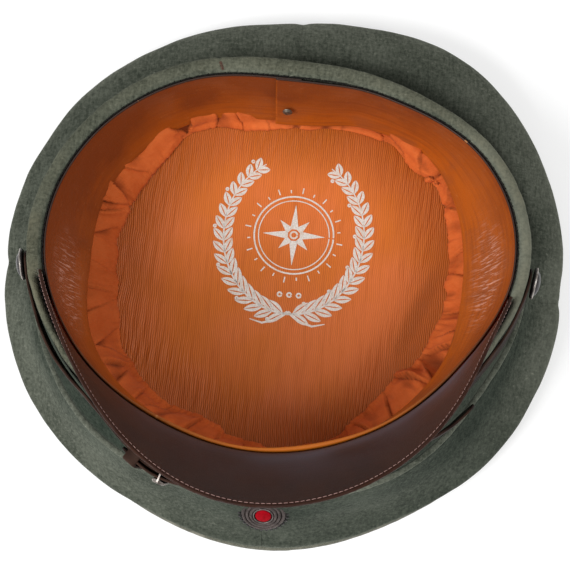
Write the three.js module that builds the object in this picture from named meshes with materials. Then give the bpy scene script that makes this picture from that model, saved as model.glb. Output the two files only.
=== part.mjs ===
// A peaked cap that lies upside down on its crown, peak towards -Y.
// Millimetres, +Z up. The crown's top cloth rests on z = 0 and the head opening looks up.
import * as THREE from 'three';

// Driving sizes of the head opening and the band
const openingHalfWidth = 97;
const bandFoot = 24.5;
const rimShiftX = -2.7;
const rimShiftY = 2.2;
const rimTilt = 12;
const bandLean = 7;
const bandHeight = 44;
const rimHeight = bandFoot + bandHeight;
const bandWall = 4;
const rimRoll = 1;
const bandFlare = 2;
const rimRollDepth = 10;

// Driving sizes of the crown
const crownHalfWidth = 121.8;
const clothThickness = 2;
const foldRise = 22;
const foldOverhang = 6;
const pipingRadius = 1.3;
const crownEdgeHeight = 3.4;
const edgeStand = 4;

// Driving sizes of the sweatband and the lining
const leatherThickness = 1.3;
const leatherWidth = 38;
const leatherLean = 16;
const leatherTop = 1;
const leatherStart = 87;
const leatherEnd = 94.7;
const leatherRamp = 26;
const leatherCurl = 1.4;
const rivetRadius = 2.1;
const rivetHeight = 1.1;
const rivetDepth = 27;
const liningInset = 17;
const liningHalfWidth = openingHalfWidth - liningInset;
const liningHeight = 8;
const liningThickness = 1;
const liningLap = 3;
const liningTop = 32;
const liningBend = 38;
const liningFlange = 5;
const puckerRise = 2.6;
const puckerCount = 17;
const puckerWideCount = 7;
const puckerWideShare = 0.6;
const liningFootLift = 0.3;
const liningKnee = { along: 0.55, lift: 0.6 };

// Driving sizes of the peak
const peakReach = 29;
const peakRise = 27;
const peakHalfArc = 84;
const peakTipShare = 0.97;
const peakThickness = 1.8;
const peakRootDepth = 4;
const peakRootInset = 1.3;
const peakStand = 1.2;
const peakReachTaper = { left: 3.5, right: 2.1 };
const peakRiseTaper = 0.8;
const peakBow = 1.15;
const bindingWidth = 4;
const bindingThickness = 0.8;

// Driving sizes of the chin strap, its fittings and the cockade
const strapWidth = 14;
const strapThickness = 1.6;
const strapDepth = 11;
const underStart = 183;
const underEnd = 362;
const overStart = 238;
const overEnd = 326;
const strapBow = 4.6;
const strapBowAngle = 250;
const strapBowArc = 13;
const freeEndLift = 3;
const keeperAngle = 242;
const keeperLength = 7;
const buckleAngle = 249;
const buckleLength = 5;
const loopWall = 1.2;
const buttonRadius = 6.5;
const buttonHeight = 3.6;
const buttonAngles = { button_left: 186, button_right: 359 };
const cockadeRadius = 10.5;
const cockadeHeight = 2.2;
const cockadeCentreRadius = 3.6;
const cockadeDrop = 13.5;

// The clearance kept between neighbouring pieces
const gap = 0.3;

// Each row is a direction round the cap, in degrees from the right side, seen from above.
// opening is a share of openingHalfWidth, leather of leatherLean, lining of liningHalfWidth,
// crown of crownHalfWidth, crest of foldRise and flank of foldOverhang.
const rows = [
  { angle: 0, opening: 1.0, leather: 1.05, lining: 0.9, crown: 0.997, crest: 0.25, flank: 0.6 },
  { angle: 30, opening: 1.003, leather: 0.66, lining: 1.0, crown: 1.035, crest: 0.65, flank: 0.9 },
  { angle: 60, opening: 0.894, leather: 0.3, lining: 0.97, crown: 1.03, crest: 0.95, flank: 1.0 },
  { angle: 90, opening: 0.841, leather: 0.5, lining: 0.876, crown: 0.963, crest: 1.0, flank: 1.0 },
  { angle: 120, opening: 0.915, leather: 0.38, lining: 0.97, crown: 0.971, crest: 0.85, flank: 0.8 },
  { angle: 150, opening: 0.974, leather: 0.62, lining: 0.955, crown: 1.003, crest: 0.45, flank: 0.7 },
  { angle: 180, opening: 0.996, leather: 1.0, lining: 0.94, crown: 1.002, crest: 0.22, flank: 0.6 },
  { angle: 210, opening: 0.954, leather: 0.62, lining: 0.94, crown: 0.994, crest: 0.12, flank: 0.4 },
  { angle: 240, opening: 0.907, leather: 0.56, lining: 0.88, crown: 0.955, crest: 0.1, flank: 0.25 },
  { angle: 270, opening: 0.902, leather: 0.56, lining: 0.905, crown: 0.962, crest: 0.1, flank: 0.2 },
  { angle: 300, opening: 0.899, leather: 0.56, lining: 0.87, crown: 0.95, crest: 0.1, flank: 0.25 },
  { angle: 330, opening: 0.922, leather: 0.62, lining: 0.825, crown: 0.982, crest: 0.14, flank: 0.4 },
];

// The side panel's fold between the band seam and the crown edge: along is a share of the way
// out, beyond of the flank's overhang, lift of the crest and stand of edgeStand.
const foldStations = [
  { along: 0.35, beyond: 0, lift: 0.55, stand: 0 },
  { along: 0.6, beyond: 0, lift: 1.0, stand: 0 },
  { along: 0.85, beyond: 0.6, lift: 0.82, stand: 0.4 },
  { along: 0.97, beyond: 1.0, lift: 0.42, stand: 1.0 },
];

const radians = THREE.MathUtils.degToRad;
const lerp = THREE.MathUtils.lerp;
const smooth = THREE.MathUtils.smoothstep;

// A smooth periodic value of one column of the rows
function share(column, angle) {
  const step = 360 / rows.length;
  const place = (((angle % 360) + 360) % 360) / step;
  const first = Math.floor(place);
  const t = place - first;
  const value = (k) => rows[(first + k + rows.length) % rows.length][column];
  const [a, b, c, d] = [value(-1), value(0), value(1), value(2)];
  const bend = (2 * a - 5 * b + 4 * c - d) * t * t + (3 * b - a - 3 * c + d) * t * t * t;
  return b + 0.5 * ((c - a) * t + bend);
}

const rimCentre = new THREE.Vector3(rimShiftX, rimShiftY, rimHeight);
const rimAcross = new THREE.Vector3(1, 0, 0);
const rimBack = new THREE.Vector3(0, Math.cos(radians(rimTilt)), -Math.sin(radians(rimTilt)));
const rimNormal = new THREE.Vector3(0, Math.sin(radians(rimTilt)), Math.cos(radians(rimTilt)));
const bandAxis = new THREE.Vector3(0, Math.sin(radians(bandLean)), Math.cos(radians(bandLean)));

// The way outwards in the rim's plane
function outward(angle) {
  return rimAcross.clone().multiplyScalar(Math.cos(radians(angle)))
    .addScaledVector(rimBack, Math.sin(radians(angle)));
}

// A point by its distance inside the band's inner face and its depth below the rim.
// A negative depth is a rise above the rim.
function bandPoint(angle, inset, depth) {
  const flare = bandFlare * Math.max(depth, 0) / bandHeight;
  const reach = share('opening', angle) * openingHalfWidth + flare - inset;
  const axis = depth > 0 ? bandAxis : rimNormal;
  return rimCentre.clone().addScaledVector(outward(angle), reach).addScaledVector(axis, -depth);
}

// A point of the crown by its polar place round the crown's own centre
function crownPoint(angle, reach, height) {
  const [x, y] = [Math.cos(radians(angle)), Math.sin(radians(angle))];
  return new THREE.Vector3(reach * x, reach * y, height);
}

function spread(start, end, count) {
  return Array.from({ length: count + 1 }, (_, k) => lerp(start, end, k / count));
}

function turn(count) {
  return spread(0, 360, count).slice(0, count);
}

// The outward normal at the middle of a patch, whose place takes a step round and a step down
function facingOf(place) {
  const along = place(1, 0).sub(place(-1, 0));
  const down = place(0, 1).sub(place(0, -1));
  return along.cross(down).negate().normalize();
}

// A closed body between two matching grids of points, as a ring or as a strip with two ends
function body(outer, inner, ring) {
  const across = outer[0].length;
  const points = [];
  const faces = [];
  const index = (side, i, j) => ((i % outer.length) * 2 + side) * across + j;
  for (let i = 0; i < outer.length; i += 1) {
    for (const point of [...outer[i], ...inner[i]]) points.push(point.x, point.y, point.z);
  }
  const quad = (a, b, c, d) => faces.push(a, b, c, a, c, d);
  const spans = ring ? outer.length : outer.length - 1;
  for (let i = 0; i < spans; i += 1) {
    for (let j = 0; j < across - 1; j += 1) {
      quad(index(0, i, j), index(0, i + 1, j), index(0, i + 1, j + 1), index(0, i, j + 1));
      quad(index(1, i, j), index(1, i, j + 1), index(1, i + 1, j + 1), index(1, i + 1, j));
    }
    quad(index(0, i, 0), index(1, i, 0), index(1, i + 1, 0), index(0, i + 1, 0));
    const last = across - 1;
    quad(index(0, i, last), index(0, i + 1, last), index(1, i + 1, last), index(1, i, last));
  }
  if (!ring) {
    const end = outer.length - 1;
    for (let j = 0; j < across - 1; j += 1) {
      quad(index(0, 0, j), index(0, 0, j + 1), index(1, 0, j + 1), index(1, 0, j));
      quad(index(0, end, j), index(1, end, j), index(1, end, j + 1), index(0, end, j + 1));
    }
  }
  return facingOut(points, faces);
}

// Turns the faces outwards when the enclosed volume comes out negative
function facingOut(points, faces) {
  const corner = (k) => new THREE.Vector3().fromArray(points, faces[k] * 3);
  let volume = 0;
  for (let k = 0; k < faces.length; k += 3) {
    volume += corner(k).dot(corner(k + 1).cross(corner(k + 2)));
  }
  if (volume < 0) faces.reverse();
  const geometry = new THREE.BufferGeometry();
  geometry.setAttribute('position', new THREE.Float32BufferAttribute(points, 3));
  geometry.setIndex(faces);
  geometry.computeVertexNormals();
  return geometry;
}

// The unit normals of a grid of points on a curved sheet
function sheetNormals(grid, ring) {
  const rowsCount = grid.length;
  const before = (i) => (ring ? (i + rowsCount - 1) % rowsCount : Math.max(i - 1, 0));
  const after = (i) => (ring ? (i + 1) % rowsCount : Math.min(i + 1, rowsCount - 1));
  return grid.map((row, i) => row.map((_, j) => {
    const along = grid[after(i)][j].clone().sub(grid[before(i)][j]);
    const over = row[Math.min(j + 1, row.length - 1)].clone().sub(row[Math.max(j - 1, 0)]);
    return along.cross(over).normalize();
  }));
}

// A sheet of even thickness about a grid of points on its middle surface
function sheet(grid, thickness, ring) {
  const normals = sheetNormals(grid, ring);
  const side = (way) => grid.map((row, i) => row.map((point, j) => (
    point.clone().addScaledVector(normals[i][j], way * thickness / 2))));
  return body(side(1), side(-1), ring);
}

// A round cord that closes on itself; the path gives its centre
function beadRing(path, radius, sides) {
  const count = path.length;
  const up = new THREE.Vector3(0, 0, 1);
  const grid = path.map((centre, i) => {
    const along = path[(i + 1) % count].clone().sub(path[(i + count - 1) % count]).normalize();
    const out = along.clone().cross(up).normalize();
    const over = out.clone().cross(along);
    return spread(0, 2 * Math.PI, sides).slice(0, sides).map((a) => centre.clone()
      .addScaledVector(out, radius * Math.cos(a)).addScaledVector(over, radius * Math.sin(a)));
  });
  const half = sides / 2;
  const outer = grid.map((row) => row.slice(0, half));
  const inner = grid.map((row) => row.slice(half).reverse());
  return body(outer, inner, true);
}

// A flat round plate with a free outline; shares place its rings from the middle to the edge
function plate(outline, bottom, top, shares, count) {
  const angles = turn(count);
  const rings = shares.length;
  const points = [0, 0, bottom(0, 0), 0, 0, top(0, 0)];
  const faces = [];
  const level = [bottom, top];
  for (const angle of angles) {
    for (const height of level) {
      for (const s of shares) {
        const flat = crownPoint(angle, outline(angle) * s, 0);
        points.push(flat.x, flat.y, height(s, angle));
      }
    }
  }
  const index = (i, side, j) => 2 + ((i % count) * 2 + side) * rings + j;
  for (let i = 0; i < count; i += 1) {
    faces.push(0, index(i + 1, 0, 0), index(i, 0, 0), 1, index(i, 1, 0), index(i + 1, 1, 0));
    for (let j = 0; j < rings - 1; j += 1) {
      const low = [index(i, 0, j), index(i + 1, 0, j), index(i + 1, 0, j + 1), index(i, 0, j + 1)];
      const high = [index(i, 1, j), index(i, 1, j + 1), index(i + 1, 1, j + 1), index(i + 1, 1, j)];
      for (const [a, b, c, d] of [low, high]) faces.push(a, b, c, a, c, d);
    }
    const [a, b] = [index(i, 0, rings - 1), index(i + 1, 0, rings - 1)];
    const [c, d] = [index(i + 1, 1, rings - 1), index(i, 1, rings - 1)];
    faces.push(a, b, c, a, c, d);
  }
  return facingOut(points, faces);
}

// A turned body whose profile closes on the axis, standing along +Z
function turned(profile, segments) {
  const outline = profile.map(([radius, height]) => new THREE.Vector2(radius, height));
  return new THREE.LatheGeometry(outline, segments).rotateX(Math.PI / 2);
}

const cap = new THREE.Group();
cap.name = 'peaked_cap';

const cloth = { color: 0x535a50, roughness: 0.95, metalness: 0 };
const pipingCloth = { color: 0x8b8778, roughness: 0.9, metalness: 0 };
const tanLeather = { color: 0x9c4f1c, roughness: 0.4, metalness: 0 };
const brownLeather = { color: 0x4b2d22, roughness: 0.5, metalness: 0 };
const cotton = { color: 0xc05f33, roughness: 0.85, metalness: 0 };
const glazedLining = { color: 0xc06a30, roughness: 0.5, metalness: 0 };
const darkMetal = { color: 0x3a3633, roughness: 0.45, metalness: 0.8 };
const silverMetal = { color: 0xb9b6ae, roughness: 0.35, metalness: 0.9 };
const enamel = { color: 0xc01018, roughness: 0.3, metalness: 0 };

function add(name, geometry, look) {
  const mesh = new THREE.Mesh(geometry, new THREE.MeshStandardMaterial(look));
  mesh.name = name;
  cap.add(mesh);
  return mesh;
}

// Crown: the top cloth, its piped edge and four side panels
const edgeReach = (angle) => share('crown', angle) * crownHalfWidth
  - share('flank', angle) * foldOverhang - clothThickness / 2;

function bandSeam(angle) {
  return bandPoint(angle, -bandWall - pipingRadius, bandHeight + pipingRadius * 0.7);
}

function crownEdge(angle) {
  return crownPoint(angle, edgeReach(angle), crownEdgeHeight);
}

// The middle line of the side cloth from the band seam, over its fold, to the crown edge
function sideLine(angle) {
  const start = bandSeam(angle);
  const end = crownEdge(angle);
  const way = crownPoint(angle, 1, 0);
  const up = new THREE.Vector3(0, 0, 1);
  const points = foldStations.map(({ along, beyond, lift, stand }) => start.clone().lerp(end, along)
    .addScaledVector(way, beyond * share('flank', angle) * foldOverhang)
    .addScaledVector(up, lift * share('crest', angle) * foldRise + stand * edgeStand));
  return new THREE.CatmullRomCurve3([start, ...points, end]);
}

function makeTopPanel() {
  const outline = (angle) => edgeReach(angle) - pipingRadius - gap;
  const lipStart = 0.93;
  const bottom = (s) => smooth(s, lipStart, 1) * (crownEdgeHeight - clothThickness / 2);
  const top = (s) => bottom(s) + clothThickness;
  add('crown_top', plate(outline, bottom, top, [0.5, lipStart, (1 + lipStart) / 2, 1], 48), cloth);
}

function makeCrownPiping() {
  const path = turn(60).map((angle) => crownEdge(angle));
  add('crown_piping', beadRing(path, pipingRadius, 6), pipingCloth);
}

function makeSidePanels() {
  const names = ['side_panel_back_right', 'side_panel_back_left', 'side_panel_front_left',
    'side_panel_front_right'];
  const quarter = 360 / names.length;
  const seam = THREE.MathUtils.radToDeg(gap / (2 * (openingHalfWidth + bandWall)));
  names.forEach((name, k) => {
    const angles = spread(quarter * k + seam, quarter * (k + 1) - seam, 12);
    const grid = angles.map((angle) => {
      const line = sideLine(angle);
      const clear = (pipingRadius + 2 * gap) / line.getLength();
      return spread(clear, 1 - clear, 7).map((u) => line.getPointAt(u));
    });
    add(name, sheet(grid, clothThickness, false), cloth);
  });
}

// Band: a stiffened cloth ring with a rolled rim, stepped inside where the peak is sewn in
const peakTipArc = peakHalfArc * peakTipShare;
const rebateDepth = peakRootDepth + 2 * gap;
const rebateWidth = peakRootInset + peakThickness / 2 + gap;
const rebateRamp = 1.2;

function rebate(angle) {
  const away = Math.abs(((angle % 360) + 360) % 360 - 270) - peakTipArc - rebateRamp;
  return lerp(rebateDepth, gap, smooth(away, 0, rebateRamp));
}

function makeBand() {
  const [first, last] = [270 - peakTipArc - rebateRamp, 270 + peakTipArc + rebateRamp];
  const behind = spread(last + rebateRamp, first + 360 - rebateRamp, 30);
  const angles = [...spread(first, last, 28), ...behind];
  const face = bandWall + rimRoll;
  const lipMiddle = (face + rebateWidth) / 2;
  const outer = angles.map((angle) => [
    bandPoint(angle, -bandWall, bandHeight),
    bandPoint(angle, -bandWall - rimRoll / 3, rimRollDepth),
    bandPoint(angle, -face, rimRoll * 2),
    bandPoint(angle, -face + rimRoll / 3, rimRoll / 2),
    bandPoint(angle, -lipMiddle, 0),
  ]);
  const inner = angles.map((angle) => [
    bandPoint(angle, 0, bandHeight),
    bandPoint(angle, 0, rimRollDepth),
    bandPoint(angle, 0, rebate(angle)),
    bandPoint(angle, -rebateWidth, rebate(angle)),
    bandPoint(angle, -rebateWidth - gap / 3, gap / 2),
  ]);
  add('band', body(outer, inner, true), cloth);
}

function makeBandPiping() {
  add('band_piping', beadRing(turn(60).map(bandSeam), pipingRadius, 6), pipingCloth);
}

// Sweatband: a leather strip sewn inside the rim, its ends lapped at the back.
// t runs from its sewn edge to its free edge; lift moves it inwards over the other end.
function sweatPoint(angle, t, lift) {
  const lean = share('leather', angle) * leatherLean * t ** leatherCurl;
  return bandPoint(angle, gap + leatherThickness / 2 + lean + lift, lerp(leatherTop, leatherWidth, t));
}

const leatherLast = leatherEnd + 360;
const leatherLap = leatherThickness + gap;

function leatherLift(angle) {
  return leatherLap * smooth(angle, leatherLast - leatherRamp, leatherLast - leatherRamp / 2);
}

function makeSweatband() {
  const angles = spread(leatherStart, leatherLast, 60);
  const grid = angles.map((angle) => spread(0, 1, 4).map((t) => sweatPoint(angle, t, leatherLift(angle))));
  add('sweatband', sheet(grid, leatherThickness, false), tanLeather);
}

function makeRivet() {
  const angle = (leatherStart + leatherEnd) / 2;
  const t = (rivetDepth - leatherTop) / (leatherWidth - leatherTop);
  const seat = leatherLap + leatherThickness / 2 + gap;
  const place = sweatPoint(angle, t, seat);
  const profile = [[0, 0], [rivetRadius, 0], [rivetRadius, rivetHeight * 0.35],
    [rivetRadius * 0.7, rivetHeight * 0.85], [0, rivetHeight]];
  const facing = facingOf((a, b) => sweatPoint(angle + a, t + b / 20, seat)).negate();
  const rivet = add('sweatband_rivet', turned(profile, 12), darkMetal);
  rivet.position.copy(place);
  rivet.quaternion.setFromUnitVectors(new THREE.Vector3(0, 0, 1), facing);
}

// Lining: a gathered cotton ring from behind the sweatband, and a glazed round bottom
const liningReach = (angle) => share('lining', angle) * liningHalfWidth;
const flangeHeight = liningHeight + liningThickness + gap + liningThickness / 2;

// Two waves round the ring, kept between 0 and 1
function pucker(angle, phase) {
  const fine = Math.sin(radians(angle * puckerCount) + phase);
  const wide = Math.sin(radians(angle * puckerWideCount) + 2 * phase);
  return 0.5 + (fine + puckerWideShare * wide) / (2 * (1 + puckerWideShare));
}

// The lining's middle line: down behind the sweatband, over a puckered knee and in on the bottom
function liningLine(angle) {
  const reach = liningReach(angle);
  const top = bandPoint(angle, gap + liningThickness / 2, liningTop);
  const low = bandPoint(angle, gap + 2 * liningThickness, liningBend);
  const footRise = puckerRise * (liningFootLift + pucker(angle, 0));
  const foot = crownPoint(angle, reach + liningFlange, flangeHeight + footRise);
  const edge = crownPoint(angle, reach + (pucker(angle, 1) - 0.5) * puckerRise, flangeHeight);
  const knee = low.clone().lerp(foot, liningKnee.along);
  knee.z += puckerRise * (liningKnee.lift + pucker(angle, 2));
  return new THREE.CatmullRomCurve3([top, low, knee, foot, edge]);
}

function makeSideLining() {
  const grid = turn(62).map((angle) => spread(0, 1, 6).map((u) => liningLine(angle).getPointAt(u)));
  add('side_lining', sheet(grid, liningThickness, true), cotton);
}

function makeCrownLining() {
  const outline = (angle) => liningReach(angle) + liningLap;
  const bottom = () => liningHeight;
  const top = () => liningHeight + liningThickness;
  add('crown_lining', plate(outline, bottom, top, [0.5, 0.8, 1], 48), glazedLining);
}

// Peak: a leather crescent sewn into the step inside the rim, rising outwards round the front.
// u runs from -1 to 1 over its arc, t from the rim to its free edge.
const peakAngles = spread(-peakTipShare, peakTipShare, 28);
const crescent = (u) => 1 - u * u;

function peakPoint(u, t, off) {
  const taper = u < 0 ? peakReachTaper.left : peakReachTaper.right;
  const reach = peakReach * crescent(u) ** taper;
  const rise = peakRise * crescent(u) ** peakRiseTaper;
  const angle = 270 + peakHalfArc * u;
  const out = (s) => peakRootInset + reach * Math.max(s, 0) ** peakBow;
  const place = (s) => bandPoint(angle, -out(s), -peakStand - rise * s);
  const point = place(t);
  if (off === 0) return point;
  const over = place(t).sub(place(t - 0.04)).normalize();
  const along = bandPoint(angle + 1, 0, 0).sub(bandPoint(angle - 1, 0, 0));
  return point.addScaledVector(along.cross(over).normalize(), off);
}

function makePeak() {
  const grid = peakAngles.map((u) => {
    const angle = 270 + peakHalfArc * u;
    const root = bandPoint(angle, -peakRootInset, peakRootDepth);
    return [root, ...[0, 0.1, 0.3, 0.6, 1].map((t) => peakPoint(u, t, 0))];
  });
  add('peak', sheet(grid, peakThickness, false), brownLeather);
}

function makePeakBinding() {
  const inner = peakThickness / 2 + 1.5 * gap;
  const outer = inner + bindingThickness;
  const grids = peakAngles.map((u) => {
    const slant = peakPoint(u, 1, 0).distanceTo(peakPoint(u, 0.5, 0)) * 2;
    const back = 1 - Math.min(bindingWidth / slant, 0.6);
    const over = peakPoint(u, 1, 0).sub(peakPoint(u, 0.9, 0)).normalize();
    const past = (off, far) => peakPoint(u, 1, off).addScaledVector(over, far);
    const skin = (off, far) => [peakPoint(u, back, off), past(off, 0), past(off * 0.5, far),
      past(-off * 0.5, far), past(-off, 0), peakPoint(u, back, -off)];
    return { outer: skin(outer, gap + bindingThickness), inner: skin(inner, gap) };
  });
  add('peak_binding', body(grids.map((g) => g.outer), grids.map((g) => g.inner), false), brownLeather);
}

// Chin strap: an under layer from button to button and an outer layer round the front,
// held by a leather keeper and a metal slide, with room for both behind it
const strapSeat = bandWall + rimRoll + gap + strapThickness / 2;
const fittingArc = 9;

// How far a place lies from the middle of the keeper and the slide
function fromFittings(angle) {
  return Math.abs(angle - (keeperAngle + buckleAngle) / 2);
}

// The straps stand further off the band where the keeper and the slide pass behind them,
// and bow outwards there
function strapLift(angle) {
  const away = fromFittings(angle);
  const bow = strapBow * Math.exp(-(((angle - strapBowAngle) / strapBowArc) ** 2));
  return bow + (loopWall + 3 * gap) * (1 - smooth(away, fittingArc, 3 * fittingArc));
}

// The outer layer lies looser past the fittings, and its free end stands off the under layer
function strapPoint(angle, layer, side) {
  const loose = gap * smooth(fromFittings(angle), fittingArc / 2, fittingArc);
  const free = freeEndLift * smooth(angle, overEnd - 28, overEnd - 6);
  const inset = -strapSeat - strapLift(angle) - layer * (strapThickness + gap + loose + free);
  return bandPoint(angle, inset, strapDepth + side * strapWidth / 2);
}

// A quarter ellipse over the last degrees of a strap rounds its end off
const strapRound = 4;

function strapWidthShare(angle, start, end) {
  const near = Math.min(angle - start, end - angle, strapRound) / strapRound;
  return Math.max(Math.sqrt(1 - (1 - near) ** 2), 0.3);
}

function makeStrap(name, layer, start, end, count) {
  const ends = [0, strapRound * 0.15, strapRound / 2];
  const middle = spread(start + strapRound, end - strapRound, count);
  const angles = [...ends.map((d) => start + d), ...middle, ...ends.map((d) => end - d).reverse()];
  const grid = angles.map((angle) => {
    const half = strapWidthShare(angle, start, end);
    return [-half, 0, half].map((side) => strapPoint(angle, layer, side));
  });
  add(name, sheet(grid, strapThickness, false), brownLeather);
}

// A flat sleeve round both straps: its hole is set from the strap's width and two layers
function makeSleeve(name, angle, length, look) {
  const holeWidth = strapWidth + 4 * gap;
  const holeDepth = 2 * strapThickness + 4 * gap;
  const box = (width, depth, Kind) => new Kind([[-1, -1], [1, -1], [1, 1], [-1, 1]]
    .map(([x, y]) => new THREE.Vector2((x * width) / 2, (y * depth) / 2)));
  const shape = box(holeWidth + 2 * loopWall, holeDepth + 2 * loopWall, THREE.Shape);
  shape.holes.push(box(holeWidth, holeDepth, THREE.Path));
  const geometry = new THREE.ExtrudeGeometry(shape, { depth: length, bevelEnabled: false });
  geometry.translate(0, 0, -length / 2);
  const sleeve = add(name, geometry, look);
  const down = bandPoint(angle, 0, bandHeight).sub(bandPoint(angle, 0, leatherTop)).normalize();
  const along = strapPoint(angle + 1, 0, 0).sub(strapPoint(angle - 1, 0, 0)).normalize();
  const out = along.clone().cross(down).normalize();
  const frame = new THREE.Matrix4().makeBasis(out.clone().cross(along), out, along);
  sleeve.position.copy(strapPoint(angle, 0.5, 0));
  sleeve.quaternion.setFromRotationMatrix(frame);
}

function makeButtons() {
  const [r, h] = [buttonRadius, buttonHeight];
  const profile = [[0, 0], [r * 0.92, 0], [r, h * 0.18], [r * 0.9, h * 0.5], [r * 0.55, h * 0.87],
    [0, h]];
  for (const [name, angle] of Object.entries(buttonAngles)) {
    const button = add(name, turned(profile, 16), darkMetal);
    const out = facingOf((a, b) => strapPoint(angle + a, 0, b));
    button.position.copy(strapPoint(angle, 0, 0)).addScaledVector(out, strapThickness / 2 + gap);
    button.quaternion.setFromUnitVectors(new THREE.Vector3(0, 0, 1), out);
  }
}

// Cockade: a pressed round badge of rings on the front seam, with a raised round centre
function makeCockade() {
  const line = sideLine(270);
  const u = cockadeDrop / line.getLength();
  const over = line.getTangentAt(u);
  const facing = new THREE.Vector3(1, 0, 0).cross(over).normalize();
  if (facing.y > 0) facing.negate();
  const seat = clothThickness / 2 + gap;
  const place = line.getPointAt(u).addScaledVector(facing, seat);
  const [r, h] = [cockadeRadius, cockadeHeight];
  const well = cockadeCentreRadius + gap;
  const profile = [[0, 0], [r, 0], [r, h * 0.35], [r * 0.88, h * 0.6], [r * 0.8, h * 0.5],
    [r * 0.68, h * 0.8], [r * 0.6, h * 0.7], [r * 0.47, h], [well, h], [well, h * 0.5], [0, h * 0.5]];
  const centre = [[0, h * 0.5 + gap], [cockadeCentreRadius, h * 0.5 + gap], [cockadeCentreRadius, h],
    [cockadeCentreRadius * 0.6, h * 1.3], [0, h * 1.4]];
  const ring = add('cockade', turned(profile, 24), darkMetal);
  const middle = add('cockade_centre', turned(centre, 16), enamel);
  for (const piece of [ring, middle]) {
    piece.position.copy(place);
    piece.quaternion.setFromUnitVectors(new THREE.Vector3(0, 0, 1), facing);
  }
}

makeTopPanel();
makeCrownPiping();
makeSidePanels();
makeBand();
makeBandPiping();
makeSweatband();
makeRivet();
makeSideLining();
makeCrownLining();
makePeak();
makePeakBinding();
makeStrap('strap_under', 0, underStart, underEnd, 40);
makeStrap('strap_over', 1, overStart, overEnd, 20);
makeSleeve('strap_keeper', keeperAngle, keeperLength, brownLeather);
makeSleeve('strap_slide', buckleAngle, buckleLength, silverMetal);
makeButtons();
makeCockade();

export default cap;
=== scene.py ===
"""The looks of a peaked cap that lies upside down on its crown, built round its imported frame.

Sizes are in millimetres in the frame of the part, +Z up through the head opening, peak towards -Y.
"""

import bmesh
import bpy
import numpy as np
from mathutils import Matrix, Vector


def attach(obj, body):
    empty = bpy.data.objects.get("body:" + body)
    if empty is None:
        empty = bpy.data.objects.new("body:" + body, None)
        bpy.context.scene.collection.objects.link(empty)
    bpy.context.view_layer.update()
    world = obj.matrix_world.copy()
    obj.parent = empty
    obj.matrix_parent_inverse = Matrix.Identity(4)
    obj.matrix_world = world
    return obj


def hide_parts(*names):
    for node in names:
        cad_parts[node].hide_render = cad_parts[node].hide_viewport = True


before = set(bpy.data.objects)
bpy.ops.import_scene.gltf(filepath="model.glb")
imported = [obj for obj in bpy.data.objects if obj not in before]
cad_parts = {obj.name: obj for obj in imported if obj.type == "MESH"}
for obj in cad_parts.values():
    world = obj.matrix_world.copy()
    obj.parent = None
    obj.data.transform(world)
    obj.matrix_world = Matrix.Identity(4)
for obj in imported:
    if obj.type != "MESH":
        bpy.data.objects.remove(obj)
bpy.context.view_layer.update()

MM = 0.001
GAP = 0.3

# Sizes of the head opening and the band
OPENING = 97.0
BAND_HEIGHT = 44.0
RIM_CENTRE = np.array([-2.7, 2.2, 68.5])
RIM_TILT = np.radians(12)
BAND_LEAN = np.radians(7)
BAND_WALL = 4.0
BAND_FLARE = 2.0
RIM_ROLL = 1.0
RIGHT_WIDER = 1.8

# Sizes of the crown
CROWN = 121.8
CLOTH = 2.0
FOLD_RISE = 22.0
FOLD_OVERHANG = 6.0
PIPING = 1.3
EDGE_HEIGHT = 3.4
EDGE_STAND = 4.0

# Sizes of the sweatband and the lining
LEATHER = 1.3
LEATHER_WIDTH = 38.0
LEATHER_LEAN = 16.0
LEATHER_TOP = 1.0
LEATHER_START = 87.0
LEATHER_END = 94.7 + 360
LEATHER_RAMP = 26.0
LEATHER_CURL = 1.4
RIVET_DEPTH = 24.5
LINING = 80.0
LINING_HEIGHT = 8.0
LINING_THICKNESS = 1.0
LINING_LAP = 3.0
LINING_TOP = 32.0
LINING_BEND = 38.0
PUCKER_RISE = 2.6

# Sizes of the peak
PEAK_REACH = 29.0
PEAK_RISE = 27.0
PEAK_LEFT_TAPER = 3.5
PEAK_RIGHT_TAPER = 2.1
PEAK_ARC = 84.0
PEAK_TIP = 0.97
PEAK_THICKNESS = 1.8
PEAK_ROOT_DEPTH = 4.0
PEAK_ROOT_INSET = 1.3
PEAK_STAND = 1.2
BINDING_SHOWN = 1.5
PEAK_EDGE = 0.45

# Sizes of the chin strap and the fittings
STRAP_WIDTH = 14.0
STRAP_THICKNESS = 1.6
STRAP_DEPTH = 11.0
STRAP_SEAT = BAND_WALL + RIM_ROLL + GAP + STRAP_THICKNESS / 2
UNDER = (183.0, 362.0)
OVER = (238.0, 325.5)
STRAP_BOW = 4.2
STRAP_BOW_ANGLE = 250.0
STRAP_BOW_ARC = 13.0
FREE_END_LIFT = 3.0
FITTING_ARC = 9.0
KEEPER_ANGLE = 242.0
SLIDE_ANGLE = 249.0
LOOP_WALL = 1.2
BUTTON_RADIUS = 6.5
BUTTONS = {"button_left": 186.0, "button_right": 359.0}
COCKADE_RADIUS = 10.5
COCKADE_CENTRE = 3.6
COCKADE_DROP = 13.5
COCKADE_TURN_UP = 0.32
COCKADE_SHIFT = np.array([1.6, 1.1, 0])

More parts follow.
